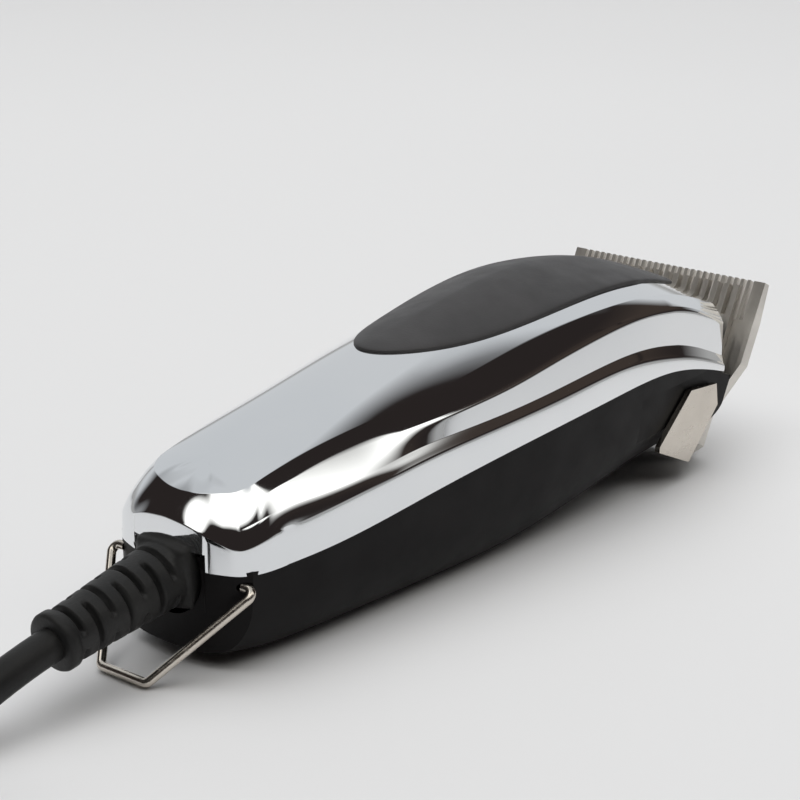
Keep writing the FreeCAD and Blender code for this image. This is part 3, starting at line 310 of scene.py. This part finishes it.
def section(x):
    """Half a section of the cover, from the seam to the middle of the back, as (y, z)."""
    wide, seam, band = float(WIDE(x)) + LAP, float(SEAM(x)) - LAP, float(BAND(x))
    side = [(wide - (LAP + BAND_EDGE) * t ** 3, mix(seam, band, t))
            for t in np.linspace(0, 1, BAND_ROWS + 1)]
    between = [tuple(p) for p in flank(x)]
    last = between[-1]
    return np.array(side + between + top_curve(x, last[0], last[1], float(TOP(x)), TOP_ROWS))


# Round the rear end: place on the wall, height of the crease under the bevel, then the bevel's
# upper edge and the point of the middle line that it runs up to.
START_Y, START_Z = flank(REAR_START)[-1]
REAR = (
    ((-58.0, -16.03), float(BAND(-58.0)), (-58.0, -START_Y, START_Z), -58.0),
    ((-61.5, -15.6), 22.6, (-59.7, -10.6, 30.1), -58.3),
    ((-64.3, -14.8), 21.9, (-61.1, -10.3, 29.7), -58.5),
    ((-66.2, -13.6), 21.2, (-62.4, -9.5, 29.3), -58.7),
    ((-67.3, -12.0), 21.3, (-63.6, -8.2, 29.0), -58.9),
    ((-68.1, -10.0), 22.2, (-64.5, -6.6, 28.8), -59.1),
    ((-68.75, -7.9), 23.1, (-65.1, -5.1, 28.6), -59.3),
    ((-69.3, -4.5), 24.3, (-65.75, -2.7, 28.4), -59.6),
    ((-69.5, 0.0), 24.9, (-66.0, 0.0, 28.3), -60.0),
)
# The bevel bulges by a share of its length, most a little below half its height, and hardly at
# all by the middle plane.
BEVEL_BULGE, BULGE_SKEW, BULGE_LOST = 0.055, 0.75, 0.85
REAR_POWER = (1.7, 1.15)
# From this step of the table the wall ends at NOTCH_TOP, over the cord's boot.
NOTCH_STEP, NOTCH_TOP = 6.0, 20.0
# Half the rear's width, which the lap widens in proportion.
REAR_HALF = 14
# Between which steps of the table the wall's turn-in goes, the bevel goes from the side's curve
# to its own plane, the back's power changes and the bulge goes.
TURN_IN_STEPS, PLANE_STEPS, POWER_STEPS, BULGE_STEPS = (0, 2.5), (0, 3.5), (2, 7), (4.5, 7)


def side_column(x, front):
    """One column of the cover's grid on the side; front pulls it to the leaning front lip."""
    half = section(x)
    column = np.stack([np.full(len(half), x), -half[:, 0], half[:, 1]], 1)
    if front > 0:
        lip = LIP_X + LIP_LEAN * (column[:, 2] - LIP_AT)
        shifted = x + front * (lip - FRONT_END)
        rows = [section(float(a))[i] for i, a in enumerate(shifted)]
        column = np.array([(a, -r[0], r[1]) for a, r in zip(shifted, rows)])
    return column


def rear_columns():
    """Columns round the rear end, over the bevel and up to the middle line."""
    steps = np.arange(len(REAR), dtype=float)
    path = [spline(steps, [r[0][k] for r in REAR]) for k in range(2)]
    crease = spline(steps, [r[1] for r in REAR])
    edge = [spline(steps, [r[2][k] for r in REAR]) for k in range(3)]
    middle = spline(steps, [r[3] for r in REAR])
    start = flank(REAR_START)
    rise = (start[:, 1] - BAND(REAR_START)) / (start[-1, 1] - BAND(REAR_START))
    spread = (start[:, 0] - start[-1, 0]) / (WIDE(REAR_START) - BAND_EDGE - start[-1, 0])
    columns = []
    # two columns at the notch's edge, almost in one place, make that edge upright
    for t in np.r_[np.arange(REAR_PITCH, NOTCH_STEP, REAR_PITCH), NOTCH_STEP, NOTCH_STEP + 0.001,
                   np.arange(NOTCH_STEP + REAR_PITCH, steps[-1] + 0.01, REAR_PITCH)]:
        x, y, c = float(path[0](t)), float(path[1](t)), float(crease(t))
        seam = NOTCH_TOP if t > NOTCH_STEP else float(SEAM(x)) - LAP
        turn_in = BAND_EDGE * (1 - float(smoothstep(t, *TURN_IN_STEPS)))
        wall = [(x - LAP * (1 - s) * t / NOTCH_STEP,
                 y * (1 + LAP * (1 - s) / REAR_HALF) + turn_in * s ** 3,
                 mix(seam, c, s)) for s in np.linspace(0, 1, BAND_ROWS + 1)]
        low, top = np.array(wall[-1]), np.array([float(e(t)) for e in edge])
        chord = top - low
        level, length = np.hypot(chord[0], chord[1]), np.linalg.norm(chord)
        away = np.array((-chord[0] / level * chord[2], -chord[1] / level * chord[2], level)) / length
        strips = (STEP_ROWS, LEAF_ROWS, FALL_ROWS)
        s = np.concatenate([k + crowded(rows)[1:] for k, rows in enumerate(strips)]) / len(strips)
        bulge = BEVEL_BULGE * length * (1 - BULGE_LOST * float(smoothstep(t, *BULGE_STEPS)))
        flat = low + s[:, None] * chord + (bulge * np.sin(np.pi * s ** BULGE_SKEW))[:, None] * away
        curved = np.stack([top[0] + (low[0] - top[0]) * spread,
                           top[1] + (low[1] - top[1]) * spread,
                           low[2] + (top[2] - low[2]) * rise], 1)
        between = mix(curved, flat, float(smoothstep(t, *PLANE_STEPS)))
        end = np.array((float(middle(t)), 0.0, float(TOP(middle(t)))))
        power = mix(*REAR_POWER, float(smoothstep(t, *POWER_STEPS)))
        share = np.linspace(0, 1, TOP_ROWS + 1)[1:] ** BACK_CROWDING
        over = np.array([(mix(top[0], end[0], a), mix(top[1], 0.0, a),
                          end[2] - (end[2] - top[2]) * (1 - a) ** power) for a in share])
        columns.append(np.concatenate([wall, between, over]))
    return columns


# First and last of the columns that are eased, counted from the front lip, and how often: the
# whole side, then the corner into the rear bevel.
EASED = ((30, 136, 36), (130, 152, 36))


def cover_columns():
    """Every column of the cover's right half, from the front lip to the middle of the rear."""
    xs = np.r_[np.arange(FRONT_END, FRONT_START, -FRONT_PITCH),
               np.arange(FRONT_START, REAR_START - 0.01, -SIDE_PITCH)]
    columns = [side_column(float(x), float(smoothstep(x, FRONT_START, FRONT_END))) for x in xs]
    grid = np.array(columns + rear_columns())
    # the columns flow into one another above the side band, whose edge stays where it is
    free = 0.5 * np.clip((np.arange(grid.shape[1]) - BAND_ROWS) / STEP_ROWS, 0, 1)[:, None]
    for first, last, passes in EASED:
        for _ in range(passes):
            between = (grid[first - 1:last - 1] + grid[first + 1:last + 1]) / 2
            grid[first:last] += free * (between - grid[first:last])
    return grid


def sharpen_rim(mesh):
    """Mark the rim as sharp, so that it does not shade the outside; the middle plane is no rim."""
    used = {}
    for polygon in mesh.polygons:
        for key in polygon.edge_keys:
            used[key] = used.get(key, 0) + 1
    for edge in mesh.edges:
        middle = max(abs(mesh.vertices[i].co.y) for i in edge.vertices) < TOUCHING * MM
        edge.use_edge_sharp = used[edge.key] == 1 and not middle


def make_cover():
    """Both halves of the chrome cover as one thin shell."""
    grid = cover_columns()
    count, rows = grid.shape[:2]
    right = grid.reshape(-1, 3)
    left = right * (1, -1, 1)
    points = np.concatenate([right, left])
    faces = grid_faces(count, rows)
    faces = faces + [tuple(i + count * rows for i in f[::-1]) for f in faces]
    cover = new_piece("chrome_cover", points, faces, "root", ["top_cover"])
    sharpen_rim(cover.data)
    weld = cover.modifiers.new("weld", "WELD")
    weld.merge_threshold = TOUCHING * MM
    solid = cover.modifiers.new("wall", "SOLIDIFY")
    solid.thickness, solid.offset = WALL * MM, -1
    return cover


cover = make_cover()


# ---------------------------------------------------------------- soft grip pad
PAD_MIDDLE, PAD_LONG, PAD_HALF = 28.0, 48.0, 14.0
PAD_RINGS, PAD_AROUND, PAD_TOUCHING = 22, 160, 0.005
# Scale of each ring of the pad's rounded edge, and how far it stands out of the back.
PAD_EDGE = ((1.0, -0.35), (1.0, 0.35), (0.996, 0.5), (0.988, 0.6), (0.975, 0.66), (0.955, 0.7))
PAD_LEVEL, PAD_RISE = 0.92, 0.72
# How far the pad ends before the cover's lip, and how far its inner rings draw back from there.
PAD_GAP, PAD_DRAW, PAD_DRAW_POWER = 0.3, 4.0, 0.8


def back_height(x, y):
    """Height of the chrome back, from its sections."""
    (s, high), top = flank(x)[-1], float(TOP(x))
    return top - (top - high) * (min(abs(y) / s, 1.2)) ** roof_power(x)


def make_pad():
    """The grip pad that lies on the back and ends just before the front lip."""
    profile = list(PAD_EDGE) + [(a, PAD_RISE) for a in np.linspace(PAD_LEVEL, 0.0, PAD_RINGS)]
    points = []
    for scale, rise in profile:
        for k in range(PAD_AROUND):
            angle = 2 * math.pi * k / PAD_AROUND
            x = PAD_MIDDLE + PAD_LONG * scale * math.cos(angle)
            y = PAD_HALF * scale * math.sin(angle)
            lip = LIP_X + LIP_LEAN * (back_height(min(x, FRONT_END), y) - LIP_AT)
            x = min(x, lip - PAD_GAP - PAD_DRAW * (1 - scale) ** PAD_DRAW_POWER)
            points.append((x, y, back_height(x, y) + rise))
    faces = grid_faces(len(profile), PAD_AROUND, closed_columns=True)
    faces.append(list(range(PAD_AROUND))[::-1])
    pad = new_piece("grip_patch", points, faces, "root", ["grip_pad"])
    weld = pad.modifiers.new("weld", "WELD")
    weld.merge_threshold = PAD_TOUCHING * MM
    return pad


pad = make_pad()


# ---------------------------------------------------------------- strain relief boot
# Rings as (distance from the root, radius): the root, the tapering middle and the rounded end.
ROOT_RINGS = ((-3.0, 6.0), (0.6, 6.1), (1.0, 6.0), (1.2, 5.9))
END_RINGS = ((23.3, 4.6), (23.5, 5.0), (24.9, 5.0), (25.3, 4.8), (25.5, 4.4), (25.5, 2.9))
TAPER_START, TAPER_END, TAPER_LONG, RING_PITCH = 1.4, 23.2, 21.8, 0.2
TAPER_THICK, TAPER_THIN = 5.75, 4.6
BOOT_AROUND, ROOT_SQUASH, SQUASH_GOES = 72, 0.6, (0.5, 2.4)
# The ribs: grooves from above and below take turns with grooves from the sides.
GROOVES, GROOVE_FIRST, GROOVE_PITCH, GROOVE_DEEP = 7, 2.9, 3.15, 1.5
GROOVE_MIDDLE, GROOVE_FLOOR, GROOVE_MOUTH = 0.45, 0.35, 0.6
BRIDGE_EDGE = (0.30, 0.45)


def boot_point(along, around, radius, squash=0.0):
    """A point of the boot: squash makes its section a rounded square at the root."""
    c, s = math.cos(around), math.sin(around)
    square = 1.0 / max(abs(c), abs(s)) ** squash
    up = Vector((-math.sin(BOOT_SLOPE), 0, math.cos(BOOT_SLOPE)))
    place = Vector(BOOT_ROOT) + BOOT_AWAY * along
    return place + (Vector((0, 1, 0)) * c + up * s) * radius * square


def groove_depth(along, angle):
    """From 0 to 1: how deep the boot is cut at this place."""
    depth = 0.0
    for i in range(GROOVES):
        groove = GROOVE_FIRST + GROOVE_PITCH * i
        wall = 1 - smoothstep(abs(along - groove - GROOVE_MIDDLE), GROOVE_FLOOR, GROOVE_MOUTH)
        turn = angle if i % 2 == 0 else angle + math.pi / 2
        open_here = smoothstep(abs(math.sin(turn)), *BRIDGE_EDGE)
        depth = max(depth, float(wall * open_here))
    return depth


def make_boot():
    """The ribbed boot that guards the cord where it leaves the clipper."""
    profile = list(ROOT_RINGS)
    profile += [(a, mix(TAPER_THICK, TAPER_THIN, (a - TAPER_START) / TAPER_LONG))
                for a in np.arange(TAPER_START, TAPER_END, RING_PITCH)]
    profile += list(END_RINGS)
    rings = []
    for along, radius in profile:
        squash = ROOT_SQUASH * float(1 - smoothstep(along, *SQUASH_GOES))
        angles = [2 * math.pi * k / BOOT_AROUND for k in range(BOOT_AROUND)]
        rings.append([boot_point(along, a, radius - GROOVE_DEEP * groove_depth(along, a), squash)
                      for a in angles])
    return loft("cord_boot", rings, "root", ["strain_relief"])


boot = make_boot()


# ---------------------------------------------------------------- plug and strap on the hank
# Place along the plug, from the cord to the pins, against its half width.
PLUG_WIDE = spline((0, 0.1, 0.3, 0.5, 0.72, 0.8, 1.0), (3.9, 4.6, 5.4, 9.0, 15.4, 17.0, 17.4))
PLUG_THIN, PLUG_THICK, PLUG_THICKENS = 4.2, 6.7, (0.2, 0.7)
PLUG_CORNER, PLUG_HALF = 0.62, 17
# Its last part, by the pins, is rounded off.
ROUND_FROM, ROUND_LONG, ROUND_BY = 0.97, 0.03, 0.9
PLUG_GROOVE, PLUG_GROOVE_END, PLUG_GROOVE_TURN = 0.35, 0.28, 75
STRAP_THICK, STRAP_CORNER, CORNER_STEPS = 0.8, 3.2, 8
STRAP_PROFILE = ((-1.0, 0.0), (-0.97, 0.55), (-0.9, 0.8), (0.9, 0.8), (0.97, 0.55), (1.0, 0.0))


def rounded_rect(half_wide, half_high, corner, steps=6):
    """Points of a rectangle with rounded corners, against the clock."""
    points = []
    for cx, cy, first in ((1, 1, 0), (-1, 1, 90), (-1, -1, 180), (1, -1, 270)):
        for k in range(steps + 1):
            a = math.radians(first + 90 * k / steps)
            points.append((cx * (half_wide - corner) + corner * math.cos(a),
                           cy * (half_high - corner) + corner * math.sin(a)))
    return points


def make_plug():
    """The flat two-pin plug's body, grooved where the cord goes in."""
    low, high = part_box("plug_body")
    rear, front = low[0] / MM, high[0] / MM
    z = (low[2] + high[2]) / 2 / MM
    rings = []
    for t in list(np.linspace(0, ROUND_FROM, 40)) + [0.985, 0.995, 1.0]:
        x = mix(rear, front, t)
        edge = 1.0
        if t >= ROUND_FROM:
            edge = 1.0 - ROUND_BY * ((t - ROUND_FROM) / ROUND_LONG) ** 2 / PLUG_HALF
        half = float(PLUG_WIDE(t)) * edge
        tall = float(mix(PLUG_THIN, PLUG_THICK, smoothstep(t, *PLUG_THICKENS))) * edge
        groove = 0.0
        if t < PLUG_GROOVE_END:
            groove = PLUG_GROOVE * max(0.0, math.sin(t * PLUG_GROOVE_TURN))
        ring = rounded_rect(half - groove, tall - groove, min(half, tall) * PLUG_CORNER)
        rings.append([(x, a, z + b) for a, b in ring])
    return loft("mains_plug", rings, "root", ["plug_body"])


def make_strap():
    """The strap round the hank: a profile swept round a rounded rectangle."""
    low, high = [[c / MM for c in corner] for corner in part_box("cord_tie")]
    middle, y, z = [(a + b) / 2 for a, b in zip(low, high)]
    half, wide, tall = [(b - a) / 2 for a, b in zip(low, high)]
    loop = rounded_rect(wide - STRAP_THICK, tall - STRAP_THICK, STRAP_CORNER, CORNER_STEPS)
    sections = []
    for k, (a, b) in enumerate(loop):
        p, q = loop[k - 1], loop[(k + 1) % len(loop)]
        d = Vector((q[0] - p[0], q[1] - p[1])).normalized()
        out = Vector((d.y, -d.x))
        sections.append([(middle + half * u, y + a + out.x * v, z + b + out.y * v)
                         for u, v in STRAP_PROFILE])
    points = [p for s in sections for p in s]
    faces = grid_faces(len(loop), len(STRAP_PROFILE), closed_rows=True, closed_columns=True)
    return new_piece("hank_strap", points, faces, "root", ["cord_tie"])


plug, strap = make_plug(), make_strap()


# ---------------------------------------------------------------- materials
def nodes_of(name):
    """A new material, its node tree and its shader."""
    material = bpy.data.materials.new(name)
    material.use_nodes = True
    tree = material.node_tree
    shader = tree.nodes["Principled BSDF"]
    return material, tree, shader


def noise(tree, scale, detail=3.0, stretch=(1, 1, 1)):
    """Noise over the object's own coordinates, in metres."""
    where = tree.nodes.new("ShaderNodeTexCoord")
    sized = tree.nodes.new("ShaderNodeMapping")
    sized.inputs["Scale"].default_value = stretch
    grain = tree.nodes.new("ShaderNodeTexNoise")
    grain.inputs["Scale"].default_value = scale
    grain.inputs["Detail"].default_value = detail
    tree.links.new(where.outputs["Object"], sized.inputs["Vector"])
    tree.links.new(sized.outputs["Vector"], grain.inputs["Vector"])
    return grain.outputs["Fac"]


def ranged(tree, fac, low, high, first=0.3, last=0.7):
    """From low to high while the value goes from first to last."""
    node = tree.nodes.new("ShaderNodeMapRange")
    for socket, number in zip(("From Min", "From Max", "To Min", "To Max"), (first, last, low, high)):
        node.inputs[socket].default_value = number
    tree.links.new(fac, node.inputs["Value"])
    return node.outputs["Result"]


def coloured(tree, fac, low, high, first=0.35, last=0.65):
    """From one colour to another while the value goes from first to last."""
    ramp = tree.nodes.new("ShaderNodeValToRGB")
    ramp.color_ramp.elements[0].position, ramp.color_ramp.elements[1].position = first, last
    ramp.color_ramp.elements[0].color, ramp.color_ramp.elements[1].color = (*low, 1), (*high, 1)
    tree.links.new(fac, ramp.inputs["Fac"])
    return ramp.outputs["Color"]


def bumped(tree, shader, height, distance):
    """Let the height move the shader's normal; the distance is in metres."""
    bump = tree.nodes.new("ShaderNodeBump")
    bump.inputs["Distance"].default_value = distance
    bump.inputs["Strength"].default_value = 1.0
    tree.links.new(height, bump.inputs["Height"])
    tree.links.new(bump.outputs["Normal"], shader.inputs["Normal"])


def surface(name, low, high, rough, metal=0.0, patch=60.0, grain=2500.0, bump=0.00002,
            stretch=(1, 1, 1), specular=0.5):
    """A finish: two near colours in patches, roughness that varies, and a fine grain."""
    material, tree, shader = nodes_of(name)
    shader.inputs["Metallic"].default_value = metal
    shader.inputs["Specular IOR Level"].default_value = specular
    colour = coloured(tree, noise(tree, patch, 4.0), low, high)
    tree.links.new(colour, shader.inputs["Base Color"])
    roughness = ranged(tree, noise(tree, patch * 3, 5.0, stretch), *rough)
    tree.links.new(roughness, shader.inputs["Roughness"])
    bumped(tree, shader, noise(tree, grain, 2.0, stretch), bump)
    return material


# Name, the two colours, the range of roughness, then the rest.
MATERIALS = {
    "chrome_shell": surface(
        "chrome", (0.80, 0.82, 0.84), (0.86, 0.87, 0.88), (0.03, 0.07),
        metal=1.0, patch=18, grain=90, bump=0.000004),
    "grip_rubber": surface(
        "soft_grip", (0.034, 0.033, 0.034), (0.043, 0.041, 0.042), (0.46, 0.58),
        metal=0, patch=70, grain=2600, bump=0.00003),
    "housing_black": surface(
        "satin_black", (0.0045, 0.0038, 0.0041), (0.0065, 0.0056, 0.0060), (0.40, 0.52),
        metal=0, patch=50, grain=3200, bump=0.00002, specular=0.14),
    "blade_steel": surface(
        "ground_steel", (0.64, 0.61, 0.57), (0.76, 0.73, 0.68), (0.38, 0.52),
        metal=1.0, patch=120, grain=500, bump=0.00002, stretch=(0.15, 5, 0.15)),
    "screw_steel": surface(
        "turned_steel", (0.42, 0.42, 0.42), (0.55, 0.55, 0.54), (0.25, 0.42),
        metal=1.0, patch=200, grain=1500, bump=0.00001),
    "lamination_steel": surface(
        "laminations", (0.22, 0.22, 0.23), (0.34, 0.34, 0.34), (0.4, 0.6),
        metal=1.0, patch=90, grain=900, bump=0.00004, stretch=(0.1, 0.1, 6)),
    "bobbin_plastic": surface(
        "bobbin", (0.62, 0.60, 0.53), (0.70, 0.68, 0.61), (0.45, 0.6),
        metal=0, patch=60),
    "copper_winding": surface(
        "winding", (0.48, 0.19, 0.08), (0.62, 0.27, 0.12), (0.25, 0.4),
        metal=1.0, patch=150, grain=700, bump=0.00008, stretch=(0.1, 0.1, 5)),
    "spring_steel": surface(
        "spring_steel", (0.45, 0.45, 0.44), (0.58, 0.58, 0.56), (0.2, 0.35),
        metal=1.0, patch=150),
    "inner_plastic": surface(
        "inner_plastic", (0.05, 0.05, 0.05), (0.08, 0.08, 0.08), (0.45, 0.6),
        metal=0, patch=60),
    "boot_rubber": surface(
        "boot_rubber", (0.012, 0.012, 0.012), (0.020, 0.0195, 0.019), (0.42, 0.58),
        metal=0, patch=90, grain=1800, bump=0.00005, specular=0.3),
    "wire_insulation": surface(
        "wire_insulation", (0.30, 0.03, 0.02), (0.38, 0.05, 0.03), (0.35, 0.5),
        metal=0, patch=80),
    "cord_rubber": surface(
        "cord_rubber", (0.011, 0.011, 0.011), (0.018, 0.0175, 0.017), (0.42, 0.56),
        metal=0, patch=60, grain=1800, bump=0.00004, specular=0.25),
    "tie_rubber": surface(
        "strap_rubber", (0.016, 0.016, 0.017), (0.024, 0.024, 0.025), (0.5, 0.65),
        metal=0, patch=90, grain=2200, bump=0.00006),
    "plug_plastic": surface(
        "plug_plastic", (0.012, 0.012, 0.012), (0.018, 0.018, 0.018), (0.34, 0.48),
        metal=0, patch=60, grain=2600, bump=0.00003),
    "pin_brass": surface(
        "pin_nickel", (0.58, 0.55, 0.50), (0.68, 0.65, 0.60), (0.16, 0.3),
        metal=1.0, patch=140, grain=900, bump=0.00001),
    "finger_plastic": surface(
        "drive_plastic", (0.55, 0.53, 0.47), (0.63, 0.61, 0.55), (0.4, 0.55),
        metal=0, patch=60),
    "lever_nickel": surface(
        "nickel", (0.60, 0.55, 0.49), (0.70, 0.65, 0.58), (0.17, 0.30),
        metal=1.0, patch=90, grain=1200, bump=0.00001, stretch=(1, 1, 4)),
    "switch_plastic": surface(
        "switch_plastic", (0.012, 0.012, 0.012), (0.02, 0.02, 0.02), (0.22, 0.35),
        metal=0, patch=60),
    "brass_screw": surface(
        "screw_brass", (0.52, 0.37, 0.15), (0.64, 0.48, 0.22), (0.22, 0.38),
        metal=1.0, patch=150),
}


def dress():
    """Every CAD node and every new piece gets the finish of its material slot."""
    for part in frame["record"]["subparts"]:
        node = frame["nodes"][part["node"]]
        node.data.materials.clear()
        node.data.materials.append(MATERIALS[part["material_slot"]])
    for piece, slot_name in ((cord, "cord_rubber"), (cover, "chrome_shell"), (pad, "grip_rubber"),
                             (boot, "boot_rubber"), (plug, "plug_plastic"), (strap, "tie_rubber")):
        piece.data.materials.append(MATERIALS[slot_name])


dress()


# ---------------------------------------------------------------- table, light and surroundings
TABLE_HALF, TABLE_DROP = 6, 0.00002
TABLE_COLOURS = (0.68, 0.68, 0.685), (0.70, 0.70, 0.705)
TABLE_ROUGH, TABLE_SPECULAR = 0.6, 0.25
LIGHT_PLACE, LIGHT_SIZE, LIGHT_WATTS = (0.15, 0.10, 1.2), (1.5, 1.5), 13
# Degrees.  Each field: where it fades in and out round the clipper (None: all round), where it
# fades in and out upwards, and its colour.  The seam lies in the dark.
SEAM_TURN = -32.0
DARK_ROOM = (0.024, 0.019, 0.018)
PALE, WHITE = (0.64, 0.655, 0.67), (1.5, 1.48, 1.42)
FIELDS = (
    ((-31, -30.9), (20, 60), (8, 14), (26, 38), (0.05, 0.038, 0.032)),
    ((295, 310), (327.5, 327.9), (8, 14), (24, 38), (0.05, 0.038, 0.032)),
    ((-9, -1), (82, 97), (-60, -50), (52, 56), PALE),
    ((-17, 8), (92, 105), (37, 45), (68, 78), PALE),
    ((88, 100), (132, 138), (50, 53), (68, 78), PALE),
    (None, None, (-91, -90), (2, 6), (0.40, 0.398, 0.392)),
    (None, None, (64, 69), (91, 92), PALE),
    ((290, 300), (-55, -48), (17, 28), (40.5, 41.5), WHITE),
    ((268, 280), (298, 304), (37, 42), (66, 70), WHITE),
    ((196, 208), (286, 292), (45, 49), (66, 70), WHITE),
    ((148, 154), (214, 226), (42, 46), (66, 70), WHITE),
    ((126, 131), (160, 170), (47.5, 49.5), (66, 70), WHITE),
)


def make_floor():
    """The table's top, a hair below the clipper so that the two do not flicker."""
    mesh = bpy.data.meshes.new("table")
    corners = [(-1, -1), (1, -1), (1, 1), (-1, 1)]
    mesh.from_pydata([(TABLE_HALF * x, TABLE_HALF * y, 0) for x, y in corners], [], [(0, 1, 2, 3)])
    floor = bpy.data.objects.new("table", mesh)
    floor.location.z = -TABLE_DROP
    bpy.context.collection.objects.link(floor)
    material, tree, shader = nodes_of("table_top")
    tree.links.new(coloured(tree, noise(tree, 1.5, 2.0), *TABLE_COLOURS), shader.inputs["Base Color"])
    shader.inputs["Roughness"].default_value = TABLE_ROUGH
    shader.inputs["Specular IOR Level"].default_value = TABLE_SPECULAR
    mesh.materials.append(material)


def make_light(name, place, aim, size, power):
    """A soft box that mirrors do not see."""
    data = bpy.data.lights.new(name, "AREA")
    data.shape, data.size, data.size_y = "RECTANGLE", size[0], size[1]
    data.energy = power
    light = bpy.data.objects.new(name, data)
    light.location = place
    light.rotation_mode = "QUATERNION"
    light.rotation_quaternion = (Vector(aim) - Vector(place)).to_track_quat("-Z", "Y")
    light.visible_glossy = False
    bpy.context.collection.objects.link(light)


def math_node(tree, kind, a, b=None):
    """The output of one sum over numbers or other outputs."""
    node = tree.nodes.new("ShaderNodeMath")
    node.operation = kind
    for socket, value in zip(node.inputs, (a, b)):
        if value is None:
            continue
        if isinstance(value, (int, float)):
            socket.default_value = value
        else:
            tree.links.new(value, socket)
    return node.outputs[0]


def make_world():
    """The studio round the table, painted by direction (azimuth and elevation in degrees)."""
    world = bpy.data.worlds.new("studio")
    bpy.context.scene.world = world
    world.use_nodes = True
    tree = world.node_tree
    where = tree.nodes.new("ShaderNodeTexCoord")
    split = tree.nodes.new("ShaderNodeSeparateXYZ")
    tree.links.new(where.outputs["Generated"], split.inputs["Vector"])
    turn = math_node(tree, "ARCTAN2", split.outputs["Y"], split.outputs["X"])
    turn = math_node(tree, "DEGREES", turn)
    # measured from a seam in the dark, so that no bright field crosses it
    turn = math_node(tree, "FLOORED_MODULO", math_node(tree, "SUBTRACT", turn, SEAM_TURN), 360.0)
    rise = math_node(tree, "DEGREES", math_node(tree, "ARCSINE", split.outputs["Z"]))
    colour = None
    for start, end, low, high, tint in FIELDS:
        sides = [ranged(tree, rise, 0, 1, *low), ranged(tree, rise, 1, 0, *high)]
        if start:
            sides += [ranged(tree, turn, 0, 1, *[(a - SEAM_TURN) % 360 for a in start]),
                      ranged(tree, turn, 1, 0, *[(a - SEAM_TURN) % 360 for a in end])]
        field = sides[0]
        for side in sides[1:]:
            field = math_node(tree, "MULTIPLY", field, side)
        # of a colour mix: inputs 6 and 7 are its two colours, output 2 is the mixed one
        layer = tree.nodes.new("ShaderNodeMix")
        layer.data_type = "RGBA"
        layer.inputs[6].default_value = (*DARK_ROOM, 1)
        if colour is not None:
            tree.links.new(colour, layer.inputs[6])
        layer.inputs[7].default_value = (*tint, 1)
        tree.links.new(field, layer.inputs[0])
        colour = layer.outputs[2]
    tree.links.new(colour, tree.nodes["Background"].inputs["Color"])


bpy.context.scene.view_settings.view_transform = "Standard"
make_floor()
make_world()
make_light("soft_box", LIGHT_PLACE, (0, 0, 0), LIGHT_SIZE, LIGHT_WATTS)
